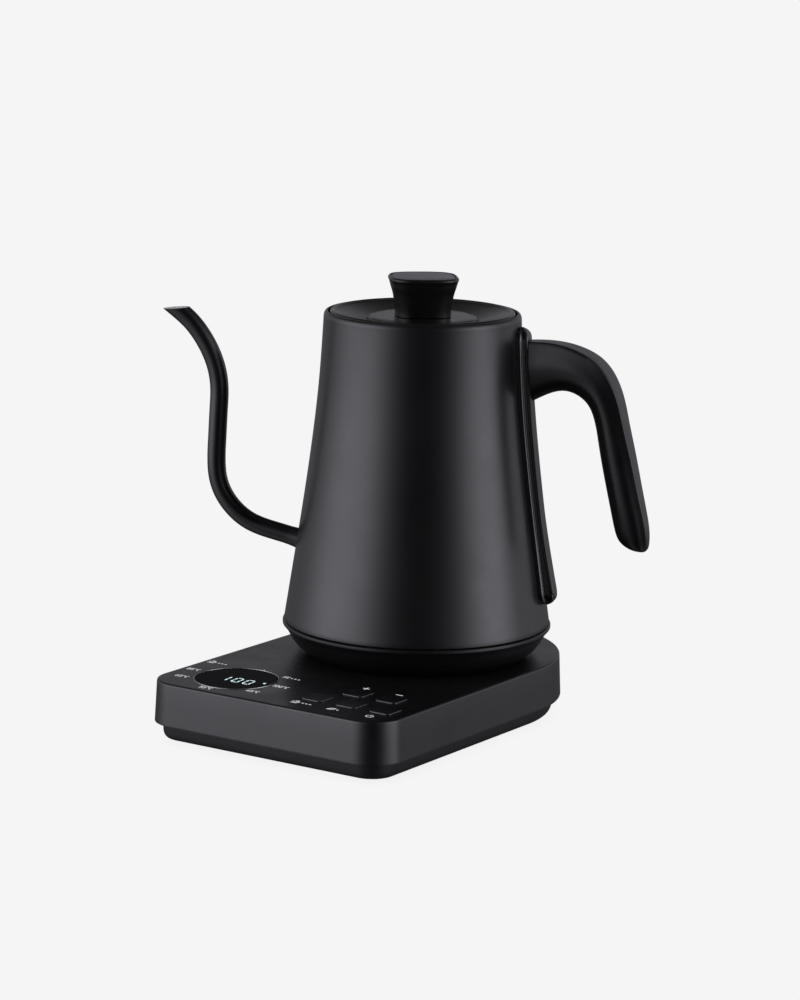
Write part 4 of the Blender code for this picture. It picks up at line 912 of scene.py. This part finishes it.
def add_knob():
    shape = smooth_line(KNOB_SHAPE, 80)
    depths = list(np.linspace(KNOB_TOP - KNOB_FOOT, 1.2, 36)) + [0.9, 0.6, 0.36, 0.18, 0.06, 0.0]
    levels = [
        (float(np.interp(depth, shape[:, 0], shape[:, 1])), KNOB_TOP - depth)
        for depth in depths
    ]
    body = stacked(knob_outline, levels + [(0.955, KNOB_TOP + 0.02)])
    recess = lofted([levelled(knob_outline(PLATE, 0.7), KNOB_TOP + z) for z in (-1.7, 3.0)])
    screw_hole = cylinder(1.9, KNOB_FOOT - 2, KNOB_FOOT + 10.5)
    add(body, "knob_body", "lid", "handle_black", "knob", 30,
        [recess, screw_hole])
    plate = [  # share of the knob's width, height over its top
        (PLATE, -1.4), (PLATE, -0.45), (PLATE - 0.006, -0.22), (PLATE - 0.02, -0.08),
        (PLATE - 0.045, -0.02), (0.7, 0.05), (0.5, 0.09), (0.25, 0.13), (0.06, 0.15),
    ]
    cap = stacked(knob_outline, [(share, KNOB_TOP + z) for share, z in plate])
    add(cap, "knob_cap", "lid", "knob_plate_grey", "knob_plate", 40)


# ---------------------------------------------------------------- base
def base_plan(inset):
    """The base from above: a half circle at the back, two round corners at the front."""
    half, radius = BASE_W / 2 - inset, max(1.0, BASE_R - inset)
    points = [
        (half * math.cos(a), BACK_CENTRE + half * math.sin(a))
        for a in np.linspace(0, math.pi, 111)
    ]
    for side, start in ((-1, 180), (1, 270)):
        for k in range(27):
            angle = math.radians(start + 90 * k / 26)
            points.append((
                side * (half - radius) + radius * math.cos(angle),
                FRONT_Y + inset + radius + radius * math.sin(angle),
            ))
    return points


def inboard(inset, turn):
    """Two places at the front corners and two round the back, `turn` degrees off +y."""
    half, angle = BASE_W / 2 - inset, math.radians(turn)
    front = [(side * half, FRONT_Y + inset) for side in (-1, 1)]
    back_y = BACK_CENTRE + half * math.cos(angle)
    return front + [(side * half * math.sin(angle), back_y) for side in (-1, 1)]


BOSSES, FEET = inboard(12.3, 38.0), inboard(22.0, 62.0)
DISPLAY = plan_place("display_lens")
lens_low, lens_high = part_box("display_lens")
DISPLAY_R = (lens_high.x - lens_low.x) / 2 / MM
KEY_NODES = ("key_cup", "key_leaf", "key_power", "key_plus", "key_minus")
KEYS = {name: plan_place(name) for name in KEY_NODES}
EXIT = (0.0, BACK_CENTRE + BASE_W / 2, FOOT_H + 16.6)  # where the cord leaves at the back


def base_cutters():
    """The hollow, then the openings with a small chamfer at their mouths."""
    top = BASE_TOP
    cutters = [
        stacked(base_plan, [(1.25, BASE_SPLIT - 3), (2.2, top - 2.2)]),
        stacked(lambda radius: circle(radius, 144), [
            (SEAT_R, SEAT_Z), (SEAT_R, top - 0.25), (SEAT_R + 0.5, top + 0.25),
            (SEAT_R + 0.5, top + 2),
        ]),
        cylinder(16.2, SEAT_Z - 8, SEAT_Z + 5, steps=96),
        stacked(lambda gap: circle(DISPLAY_R + gap, 120, DISPLAY), [
            (0.50, top - 8), (0.50, top - 0.10), (0.56, top + 0.10), (0.56, top + 2),
        ]),
    ]
    for at in KEYS.values():
        cutters.append(stacked(
            lambda gap: rounded_square(KEY_SIZE + gap, KEY_R + gap / 2, at),
            [(0.8, top - 8), (0.8, top - 0.15), (1.1, top + 0.15), (1.1, top + 2)],
        ))
    exit_line = [(0, EXIT[1] + y, EXIT[2]) for y in (-8, 0, 8)]
    return cutters + [bar(exit_line, 5.3, 40)]


def add_base_shell():
    edge = 1.1  # rounding of the top edge
    levels = [  # inset, z
        (-0.55, BASE_SPLIT), (-0.85, BASE_SPLIT + 0.12), (-BASE_FLARE, BASE_SPLIT + 0.4),
        (-BASE_FLARE + 0.02, BASE_SPLIT + 0.9), (-0.45, (BASE_SPLIT + BASE_TOP) / 2),
        (-0.02, BASE_TOP - edge - 0.2),
    ]
    levels += [
        (edge * (1 - math.cos(a)), BASE_TOP - edge + edge * math.sin(a))
        for a in np.radians((0, 12, 24, 36, 48, 60, 72, 82))
    ]
    levels += [(edge, BASE_TOP), (edge + 0.5, BASE_TOP)]
    add(stacked(base_plan, levels), "base_shell", "base", "base_shell_black",
        "base_top_cover", 24, base_cutters())
    bottom, top = BASE_SPLIT + 2.0, BASE_TOP - 2.0
    for i, at in enumerate(BOSSES):
        tube = turned([(1.9, bottom), (3.7, bottom), (3.7, top), (1.9, top)], 32, at)
        add(tube, f"base_boss_{i + 1}", "base", "base_shell_black", sharp=30)


def add_base_pan():
    levels = [  # inset, z
        (7.2, FOOT_H), (6.6, FOOT_H), (5.7, FOOT_H + 0.12), (5.0, FOOT_H + 0.42),
        (4.4, FOOT_H + 0.9), (3.9, FOOT_H + 1.6), (3.55, FOOT_H + 2.5), (3.3, FOOT_H + 3.8),
        (3.15, BASE_SPLIT - 1.0), (3.1, BASE_SPLIT + 0.2), (2.5, BASE_SPLIT + 0.6),
        (2.5, BASE_SPLIT + 2.8),
    ]
    tools = [stacked(base_plan, [
        (8.6, FOOT_H + 2.0), (5.8, FOOT_H + 4.2), (5.0, BASE_SPLIT), (4.6, BASE_SPLIT + 8),
    ])]
    # foot recesses, screw head recesses, screw holes
    for places, radius, top, steps in ((FEET, 6.4, 0.9, 40), (BOSSES, 3.4, 1.1, 32),
                                       (BOSSES, 1.9, 8, 24)):
        tools += [cylinder(radius, FOOT_H - 2, FOOT_H + top, at, steps) for at in places]
    add(stacked(base_plan, levels), "base_pan", "base", "base_pan_black",
        "base_bottom_cover", 24, tools)
    foot = [
        (0, FOOT_H + 0.6), (6.0, FOOT_H + 0.6, 0.2), (6.0, 0.5, 0.5), (5.5, 0, 0.3), (4.4, 0.0),
        (4.2, 0.25), (3.4, 0.25), (3.2, 0.0), (0, 0),
    ]
    for i, at in enumerate(FEET):
        add(turned(foot, 48, at), f"foot_pad_{i + 1}", "base", "soft_rubber",
            f"foot_{i + 1}")


def add_display():
    face = BASE_TOP - 0.05
    lens = [
        (0, face), (DISPLAY_R - 1.2, face), (DISPLAY_R - 0.5, face, 0.3),
        (DISPLAY_R, BASE_TOP - 0.5, 0.3), (DISPLAY_R, BASE_TOP - 2.0), (0, BASE_TOP - 2.0),
    ]
    add(turned(lens, 144, DISPLAY), "display_glass", "base", "lens_black",
        "display_lens", 30)
    wire = circle(0.235, 12, (DISPLAY_R + 0.25, BASE_TOP + 0.03))
    add(turned(wire, 144, DISPLAY), "display_trim", "base", "plated_screw", sharp=60)


def add_keys():
    top = BASE_TOP + KEY_PROUD
    collar = KEY_SIZE + 1.7
    levels = [  # size, corner radius, z
        (collar, KEY_R, BASE_TOP - 4.2), (collar, KEY_R, BASE_TOP - 2.6),
        (KEY_SIZE, KEY_R, BASE_TOP - 2.6),
    ]
    # the rounded top edge: inset, depth below the top
    for inset, depth in ((0, 0.45), (0.03, 0.30), (0.10, 0.16), (0.20, 0.06), (0.32, 0.01),
                         (0.42, 0), (0.7, 0)):
        levels.append((KEY_SIZE - 2 * inset, KEY_R - inset, top - depth))
    for name, at in KEYS.items():
        cap = lofted([levelled(rounded_square(size, r, at), z) for size, r, z in levels])
        stem = cylinder(1.8, BASE_TOP - 6.9, BASE_TOP - 3.4, at, 24)
        add(cap, name.replace("key", "cap"), name, "key_black", name, 26,
            joined=[stem])


def add_socket():
    flange, top = BASE_TOP - 2.2 - GAP, FOOT_H + 37.7
    body = [  # r, z, rounding
        (3.3, FOOT_H + 37.1, 0.4), (3.9, top, 0.4), (7.9, top, 0.3), (8.2, FOOT_H + 37.4),
        (8.2, FOOT_H + 27.2), (11.0, FOOT_H + 27.2), (11.0, FOOT_H + 37.4), (11.3, top, 0.3),
        (14.9, top, 0.8), (15.6, FOOT_H + 37.0, 0.6), (15.8, flange), (22.0, flange, 0.3),
        (22.0, flange - 2.4), (15.8, flange - 2.4), (15.8, FOOT_H + 15.0), (3.3, FOOT_H + 15.0),
    ]
    add(turned(body, 96), "socket_body", "base", "connector_black", "base_socket")
    shutter = [
        (8.6, FOOT_H + 31.4, 0.4), (10.6, FOOT_H + 31.4, 0.4), (10.6, FOOT_H + 27.6),
        (8.6, FOOT_H + 27.6),
    ]
    add(turned(shutter, 96), "shutter_ring", "shutter", "connector_black",
        "socket_shutter")


# ---------------------------------------------------------------- cord and plug
CORD_Z = CORD_R + 0.1  # its centre where it lies on the table
CORD_NEAR, CORD_FAR = -22.0, -76.0  # x of the ends of the folded runs
RUN_Y = EXIT[1] + 23.0
PLUG_X, PLUG_Y, PLUG_Z = -62.0, RUN_Y + 35.0, 9.2
PIN_OFFSETS = (-9.3, 9.3)


def add_cord_boot():
    profile = [(CORD_R + 0.15, 7.0), (4.3, 7.0)]
    for k in range(5):  # ribs
        z = 6.4 - k * 1.0
        r = 4.3 + (6.6 - 4.3) * (7.0 - z) / 5.4
        profile += [(r, z), (r - 0.35, z - 0.15), (r - 0.35, z - 0.5), (r + 0.1, z - 0.6)]
    profile += [
        (6.6, 1.4), (6.6, GAP + 0.1), (4.9, GAP + 0.1), (4.9, -3.4), (CORD_R + 0.15, -3.4),
    ]
    at = (EXIT[0], EXIT[1] + BASE_FLARE, EXIT[2])
    boot = tipped(turned(profile, 64), -90, "X", to=at)
    add(boot, "cord_boot", "base", "soft_rubber", "strain_relief", 32)


def bezier(start, leave, arrive, end, count):
    start, leave, arrive, end = (Vector(point) for point in (start, leave, arrive, end))
    return [
        start * (1 - t) ** 3 + 3 * leave * t * (1 - t) ** 2 + 3 * arrive * t**2 * (1 - t)
        + end * t**3
        for t in np.linspace(0, 1, count)
    ]


def folded(rows, steps=6):
    """Runs to and fro between CORD_NEAR and CORD_FAR at each y, joined by half circles."""
    points = []
    for i, y in enumerate(rows):
        start, end = (CORD_NEAR, CORD_FAR) if i % 2 == 0 else (CORD_FAR, CORD_NEAR)
        points += [(x, y, CORD_Z) for x in (start, (start + end) / 2, end)]
        if i + 1 < len(rows):
            side = 1 if end > start else -1
            radius = (rows[i + 1] - y) / 2
            for k in range(1, steps):
                angle = math.pi * k / steps
                x = end + side * radius * math.sin(angle)
                points.append((x, y + radius * (1 - math.cos(angle)), CORD_Z))
    return points


def add_cord():
    x, y, z = EXIT
    lead = [Vector((x, y - 12, z))] + bezier(
        (x, y + 7.5, z), (x, y + 20, z),
        (-3.0, RUN_Y + 0.4, CORD_Z), (CORD_NEAR, RUN_Y, CORD_Z), 9)
    runs = folded((RUN_Y, RUN_Y + 15.0, RUN_Y + 35.0))
    tail = [
        (-34.0, PLUG_Y, CORD_Z), (-42.0, PLUG_Y, CORD_Z + 1.0), (-50.0, PLUG_Y, PLUG_Z - 1.2),
        (-57.0, PLUG_Y, PLUG_Z), (PLUG_X - 3.4, PLUG_Y, PLUG_Z),
    ]
    line = smooth_line([tuple(point) for point in lead[:-1]] + runs[:-2] + tail, 420)
    line[:, 2] = np.maximum(line[:, 2], CORD_R + 0.02)  # stays above the table
    add(bar(line, CORD_R, 28), "cord_line", "base", "cord_jacket", "cord", 50)


def along_plug(offsets, aside=0.0):
    return [(PLUG_X + x, PLUG_Y + aside, PLUG_Z) for x in offsets]


def add_plug():
    sections = (  # x from the cord's end, width, height
        (0.0, 9.0, 9.0), (-0.6, 9.6, 9.6), (-3.0, 10.2, 10.0), (-6.5, 11.6, 10.8),
        (-9.0, 17.0, 13.0), (-11.0, 23.6, 15.8), (-13.0, 27.6, 17.4), (-15.0, 29.0, 18.0),
        (-20.0, 28.4, 17.8), (-26.0, 28.6, 17.9), (-31.0, 29.0, 18.0), (-31.6, 28.7, 17.7),
        (-32.0, 27.4, 16.6), (-32.05, 26.4, 15.6),
    )
    plug = lofted([
        [(x, y, z) for y, z in squircle(width, height, 3.0, 64)]
        for x, width, height in sections
    ])
    bmesh.ops.translate(plug, verts=plug.verts, vec=(PLUG_X, PLUG_Y, PLUG_Z))
    tools = [bar(along_plug((6, 0, -4.0)), CORD_R + 0.15, 28)]
    for k in range(4):  # upright grooves in both sides
        x = PLUG_X - 18.0 - k * 2.6
        for side in (-1, 1):
            y = PLUG_Y + side * 14.9
            tools.append(bar([(x, y, PLUG_Z + z) for z in (-6.0, 0, 6.0)], 0.9, 14))
    for aside in PIN_OFFSETS:
        tools.append(bar(along_plug((-24, -30, -36), aside), 2.45, 32))
    add(plug, "plug_body", "base", "soft_rubber", "plug", 34, tools)
    profile = [(0, 0), (2.2, 0), (2.2, -25.0, 1.0), (1.3, -26.6, 0.8), (0, -27.0)]
    for i, aside in enumerate(PIN_OFFSETS):
        at = (PLUG_X - 24.4, PLUG_Y + aside, PLUG_Z)
        pin = tipped(turned(profile, 40), 90, "Y", to=at)
        add(pin, f"pin_round_{i + 1}", "base", "contact_brass", f"plug_pin_{i + 1}")


# ---------------------------------------------------------------- marks on the panel
MARK_Z = BASE_TOP + 0.005
MARK_WIDTH = 0.52
FIGURE_H = 2.9
LIT_Z = BASE_TOP - 0.045


def heading(start, end):
    step = end - start
    return step.normalized() if step.length > 1e-9 else None


def ribbon(bm, points, width, z, thick=0.05, closed=False):
    """A flat line of even width along 2-D points."""
    points = [Vector(point) for point in points]
    count = len(points)
    left, right = [], []
    for i, point in enumerate(points):
        came = heading(points[i - 1] if (i > 0 or closed) else point, point)
        goes = heading(point, points[(i + 1) % count] if (i < count - 1 or closed) else point)
        along = ((came or goes) + (goes or came)).normalized()
        across = Vector((-along.y, along.x))
        miter = 1.0
        if came and goes:
            miter = 1.0 / max(0.5, math.sqrt((1 + came.dot(goes)) / 2))
        left.append(point + across * width / 2 * miter)
        right.append(point - across * width / 2 * miter)
    low_left, low_right, top_left, top_right = (
        [bm.verts.new((point.x, point.y, height)) for point in side]
        for height in (z, z + thick) for side in (left, right)
    )
    for i in range(count if closed else count - 1):
        j = (i + 1) % count
        bm.faces.new((top_left[i], top_right[i], top_right[j], top_left[j]))
        bm.faces.new((low_left[i], low_left[j], low_right[j], low_right[i]))
        bm.faces.new((low_left[i], top_left[i], top_left[j], low_left[j]))
        bm.faces.new((low_right[i], low_right[j], top_right[j], top_right[i]))
    if not closed:
        bm.faces.new((low_left[0], low_right[0], top_right[0], top_left[0]))
        bm.faces.new((low_left[-1], top_left[-1], top_right[-1], low_right[-1]))


def arc(x, y, radius, start, end, count, tall=None):
    """Points of an arc between two angles in degrees; `tall` is its radius along y."""
    return [
        (x + radius * math.cos(math.radians(a)), y + (tall or radius) * math.sin(math.radians(a)))
        for a in np.linspace(start, end, count)
    ]


def panel(across, up):
    """A place on the panel, measured from the base's front left corner."""
    return (CORNER.x + across, CORNER.y + up)


# symbols about their own centre: (points, closed)
CUP = [
    ([(-1.0, 0.42), (-0.86, -0.35), (-0.60, -0.62), (0.30, -0.62), (0.56, -0.35), (0.70, 0.42)],
     True),
    (arc(0.66, 0.06, 0.36, 75, -85, 12), False),
    ([(-1.1, -0.95), (0.85, -0.95)], False),
    ([(-0.45, 0.68), (-0.30, 0.86), (-0.45, 1.04), (-0.30, 1.22)], False),
    ([(0.12, 0.68), (0.27, 0.86), (0.12, 1.04), (0.27, 1.22)], False),
]
LEAF_UP = [(-0.95, -0.55), (-0.75, 0.10), (-0.25, 0.62), (0.45, 0.86), (1.0, 0.9)]
LEAF_DOWN = [(1.0, 0.9), (0.95, 0.30), (0.62, -0.32), (0.05, -0.66), (-0.95, -0.55)]
LEAF = [
    (list(smooth_line(LEAF_UP, 12)) + list(smooth_line(LEAF_DOWN, 12))[1:], False),
    ([(-1.2, -0.85), (-0.5, -0.25), (0.5, 0.45)], False),
]
POWER = [(arc(0, -0.05, 0.86, 122, 418, 30), False), ([(0, 0.2), (0, 1.05)], False)]
HEAT = [
    (smooth_line(
        [(x, -0.8), (x + 0.22, -0.4), (x - 0.05, 0.05), (x + 0.22, 0.5), (x, 0.95)], 16), False)
    for x in (-0.7, 0.0, 0.7)
]
# each figure as lines in a 1 x 2 cell
FIGURES = {
    "0": [(arc(0.5, 1.0, 0.5, 0, 352, 30, 1.0), True)],
    "1": [([(0.12, 1.62), (0.58, 2.0), (0.58, 0.0)], False)],
    "4": [([(0.74, 0.0), (0.74, 2.0), (0.0, 0.62), (1.02, 0.62)], False)],
    "5": [([(0.94, 2.0), (0.18, 2.0), (0.10, 1.10)] + arc(0.48, 0.64, 0.50, 128, -140, 18, 0.62),
           False)],
    "6": [([(0.80, 1.96), (0.34, 1.40)] + arc(0.50, 0.60, 0.48, 150, 500, 26, 0.60), False)],
    "8": [(arc(0.5, 1.50, 0.40, 0, 350, 24, 0.48), True),
          (arc(0.5, 0.53, 0.48, 0, 350, 26, 0.54), True)],
    "°": [(arc(0.3, 1.74, 0.22, 0, 340, 14), True)],
    "C": [(arc(0.52, 1.0, 0.5, 48, 312, 22, 1.0), False)],
}
FIGURE_WIDTHS = {"1": 0.8, "°": 0.6}  # the others are 1 wide
FIGURE_GAP = 0.46
# places below are panel places
NUMBERS = (
    ("85°C", (7.2, 31.5)), ("65°C", (11.0, 17.1)), ("55°C", (34.0, 6.0)),
    ("45°C", (56.2, 14.4)), ("100°C", (61.5, 29.9)),
)
# symbol, its place and size, then the first of the dots beside it and their number
SYMBOLS = (
    (CUP, (5.4, 49.4), 1.9, (9.6, 49.0), 3),
    (HEAT, (52.6, 46.7), 1.8, (56.4, 46.4), 3),
    (CUP, (84.2, 11.2), 1.9, (88.4, 10.9), 3),
    (LEAF, (105.2, 10.8), 1.7, (108.8, 10.6), 1),
    (POWER, (127.2, 11.0), 2.1, (0, 0), 0),
)
# the plus and the minus: two ends about a place, line width
STROKES = (
    (((-1.9, 0), (1.9, 0)), (96.4, 52.8), 0.75),
    (((0, -1.9), (0, 1.9)), (96.4, 52.8), 0.75),
    (((-2.0, 0), (2.0, 0)), (116.1, 52.4), 0.8),
)


def symbol(bm, lines, at, size, width=MARK_WIDTH):
    for points, closed in lines:
        moved = [(at[0] + x * size, at[1] + y * size) for x, y in points]
        ribbon(bm, moved, width, MARK_Z, closed=closed)


def number(bm, text, at):
    """A row of figures centred on a place."""
    scale = FIGURE_H / 2
    widths = [FIGURE_WIDTHS.get(figure, 1.0) for figure in text]
    total = sum(width + FIGURE_GAP for width in widths) - FIGURE_GAP
    x = at[0] - total * scale / 2
    for figure, width in zip(text, widths):
        symbol(bm, FIGURES[figure], (x, at[1] - scale), scale)
        x += (width + FIGURE_GAP) * scale


def dots(bm, at, count, z=MARK_Z, size=0.34, pitch=2.1):
    for i in range(count):
        ring = arc(at[0] + i * pitch, at[1], size, 0, 330, 12)
        ribbon(bm, ring, size * 1.7, z, closed=True)


def add_panel_marks():
    bm = bmesh.new()
    for text, at in NUMBERS:
        number(bm, text, panel(*at))
    for lines, at, size, dots_at, count in SYMBOLS:
        symbol(bm, lines, panel(*at), size)
        dots(bm, panel(*dots_at), count)
    for points, at, width in STROKES:
        symbol(bm, [(points, False)], panel(*at), 1.0, width)
    dots(bm, panel(35.6, 51.6), 1, size=0.28)
    # the printed marks carry a painted glow from their ink material
    add(settled(bm), "panel_marks", "base", "white_ink_painted_glow", sharp=30)


def lit_digit(bm, segments, at, width=3.7, height=7.4, weight=0.66, slant=-0.10):
    gap = weight * 0.66
    middle = height / 2
    lines = {  # a at the top, then clockwise
        "a": ((gap, height), (width - gap, height)),
        "b": ((width, height - gap), (width, middle + gap)),
        "c": ((width, middle - gap), (width, gap)),
        "d": ((gap, 0), (width - gap, 0)),
        "e": ((0, gap), (0, middle - gap)),
        "f": ((0, middle + gap), (0, height - gap)),
    }
    for name in segments:
        points = [(at[0] + x + slant * y, at[1] + y) for x, y in lines[name]]
        ribbon(bm, points, weight, LIT_Z, thick=0.03)


def add_lit_digits():
    """The figures 100 and a small ring, just above the lens."""
    bm = bmesh.new()
    for segments, across in (("bc", 28.3), ("abcdef", 35.6), ("abcdef", 42.4)):
        lit_digit(bm, segments, panel(across, 23.8))
    dots(bm, panel(51.4, 30.4), 1, z=LIT_Z, size=0.42)
    add(settled(bm), "lit_digits", "base", "display_glow", sharp=30)


# ---------------------------------------------------------------- nodes kept from the frame
KEPT = {
    "pressed_steel": "chamber_floor",
    "brushed_steel": "heating_element temperature_sensor handle_bracket",
    "component_black": "thermal_cutout display_module switch_cup switch_leaf switch_power"
    " switch_plus switch_minus",
    "silicone_grey": "sensor_seal",
    "plated_screw": "cover_screw_1 cover_screw_2 cover_screw_3 grip_screw_1 grip_screw_2"
    " knob_screw base_screw_1 base_screw_2 base_screw_3 base_screw_4",
    "lacquered_board": "control_board power_board",
    "relay_blue": "relay",
    "contact_brass": "socket_contact_line socket_contact_neutral",
}


def finish_kept_nodes():
    for material, names in KEPT.items():
        for name in names.split():
            obj = frame["nodes"][name]
            if not obj.material_slots:
                obj.data.materials.append(MATERIALS[material])
            for slot in obj.material_slots:
                slot.material = MATERIALS[material]


# ---------------------------------------------------------------- floor
def floor_material():
    """Matt to the light; the camera sees even pale paper, shaded a little at contacts."""
    material, tree, coord = new_material("pale_floor")
    blotches = spread(tree, noise(tree, coord, scale=3.0), low=0.0, high=1.0)
    matt = node(tree, "BsdfPrincipled", {
        "Base Color": mixed(tree, blotches, (0.80, 0.80, 0.80), (0.82, 0.82, 0.82)),
        "Roughness": spread(tree, noise(tree, coord, scale=8.0), low=0.85, high=0.95),
        "Specular IOR Level": 0.0,
    })
    contact = node(tree, "AmbientOcclusion", {"Distance": 0.007}, samples=8).outputs["AO"]
    blotches = spread(tree, noise(tree, coord, scale=5.0), low=0.0, high=1.0)
    paper = node(tree, "Emission", {
        "Color": mixed(tree, blotches, (0.911, 0.911, 0.911), (0.915, 0.915, 0.915)),
        "Strength": spread(tree, contact, low=0.96, high=1.0, start=0.15, end=1.0),
    })
    camera_ray = node(tree, "LightPath").outputs["Is Camera Ray"]
    mix = node(tree, "MixShader", {0: camera_ray, 1: matt.outputs[0], 2: paper.outputs[0]})
    node(tree, "OutputMaterial", {"Surface": mix.outputs[0]})
    return material


def add_floor():
    angles = [2 * math.pi * k / 64 for k in range(64)]
    bm, rows = skinned([
        [(r * math.cos(a), r * math.sin(a), 0.0) for a in angles]
        for r in (1, 300, 900, 3000, 16000)
    ])
    bm.faces.new(rows[0])
    bmesh.ops.recalc_face_normals(bm, faces=bm.faces)
    floor = bare(bm)
    floor.name = "studio_floor"
    bpy.context.scene.collection.objects.link(floor)
    floor.location.z = -0.0002
    floor.data.materials.append(floor_material())
    floor.visible_shadow = False
    floor.visible_glossy = False
    floor.visible_diffuse = False


# ---------------------------------------------------------------- light
CAMERA_TURN = 33.63  # degrees from the front towards +x
LIGHT_STRENGTH = 16.0  # makes up for both ramps being held at a quarter
# degrees round from the camera, brightness
ROUND_ABOUT = (
    (-180, 0.30), (-150, 0.31), (-134, 0.42), (-121, 0.66), (-109, 1.25), (-98, 2.15),
    (-88, 2.95), (-72, 3.30), (-61, 3.20), (-51, 2.60), (-42, 1.60), (-33, 0.75), (-24, 0.25),
    (-13, 0.05), (0, 0.035), (13, 0.05), (23, 0.14), (33, 0.36), (42, 0.95), (51, 2.00),
    (61, 3.05), (73, 3.50), (83, 3.05), (92, 1.60), (101, 0.72), (113, 0.92), (128, 0.58),
    (146, 0.34), (180, 0.30),
)
# degrees above the horizon, brightness
UP_DOWN = (
    (-90, 0.08), (-45, 0.18), (-25, 0.28), (-13, 0.31), (-5, 0.84), (1, 1.00), (16, 0.96),
    (30, 0.42), (45, 0.13), (90, 0.09),
)


def graded(tree, factor, stops, half_range):
    """A ramp over -half_range to half_range degrees, its values held at a quarter."""
    made = node(tree, "ValToRGB", {"Fac": factor})
    ramp = made.color_ramp
    ramp.interpolation = "LINEAR"
    while len(ramp.elements) < len(stops):
        ramp.elements.new(0.5)
    for element, (degrees, value) in zip(ramp.elements, stops):
        element.position = (degrees + half_range) / (2 * half_range)
        element.color = (value / 4, value / 4, value / 4, 1)
    return made.outputs["Color"]


def set_world():
    """A studio graded by compass direction and height; the camera sees plain pale grey."""
    world = bpy.data.worlds.new("studio")
    bpy.context.scene.world = world
    tree = fresh_tree(world)
    direction = node(tree, "SeparateXYZ", {0: node(tree, "TexCoord").outputs["Generated"]})
    x, y, z = (direction.outputs[name] for name in "XYZ")
    compass = maths(tree, "ARCTAN2", x, maths(tree, "MULTIPLY", y, -1.0))
    turn = maths(tree, "MULTIPLY", compass, 1 / (2 * math.pi))
    turn = maths(tree, "FRACT", maths(tree, "ADD", turn, 1.5 - CAMERA_TURN / 360))
    climb = maths(tree, "MULTIPLY", maths(tree, "ARCSINE", z), 1 / math.pi)
    climb = maths(tree, "ADD", climb, 0.5)
    across = graded(tree, turn, ROUND_ABOUT, 180)
    up_down = graded(tree, climb, UP_DOWN, 90)
    strength = maths(tree, "MULTIPLY", maths(tree, "MULTIPLY", across, up_down), LIGHT_STRENGTH)
    seen = node(tree, "Background", {0: (0.913, 0.913, 0.913, 1)})
    light = node(tree, "Background", {0: (0.955, 0.96, 1.045, 1), 1: strength})
    camera_ray = node(tree, "LightPath").outputs["Is Camera Ray"]
    mix = node(tree, "MixShader", {0: camera_ray, 1: light.outputs[0], 2: seen.outputs[0]})
    node(tree, "OutputWorld", {0: mix.outputs[0]})


# ---------------------------------------------------------------- camera
def add_camera():
    data = bpy.data.cameras.new("camera")
    data.sensor_width = 36.0
    data.lens = 128.08
    data.clip_start, data.clip_end = 0.05, 60.0
    camera = bpy.data.objects.new("camera", data)
    bpy.context.scene.collection.objects.link(camera)
    forward = Vector((-0.5474451, 0.8134389, -0.1965223))
    right = Vector((0.82734232, 0.56137854, 0.01894257))
    up = Vector((-0.12573202, 0.1522212, 0.98031636))
    stand = Matrix((right, up, -forward)).transposed().to_4x4()
    stand.translation = AXIS + Vector((0.975372, -1.466452, 0.461761))
    camera.matrix_world = stand
    scene = bpy.context.scene
    scene.camera = camera
    scene.view_settings.view_transform = "Standard"
    scene.view_settings.look = "None"


# ---------------------------------------------------------------- build
add_body()
add_spout()
add_spout_bead()
add_bottom_cover()
add_handle()
add_connector()
add_lid()
add_knob()
add_base_shell()
add_base_pan()
add_display()
add_keys()
add_socket()
add_cord_boot()
add_cord()
add_plug()
add_panel_marks()
add_lit_digits()
finish_kept_nodes()
add_floor()
set_world()
add_camera()
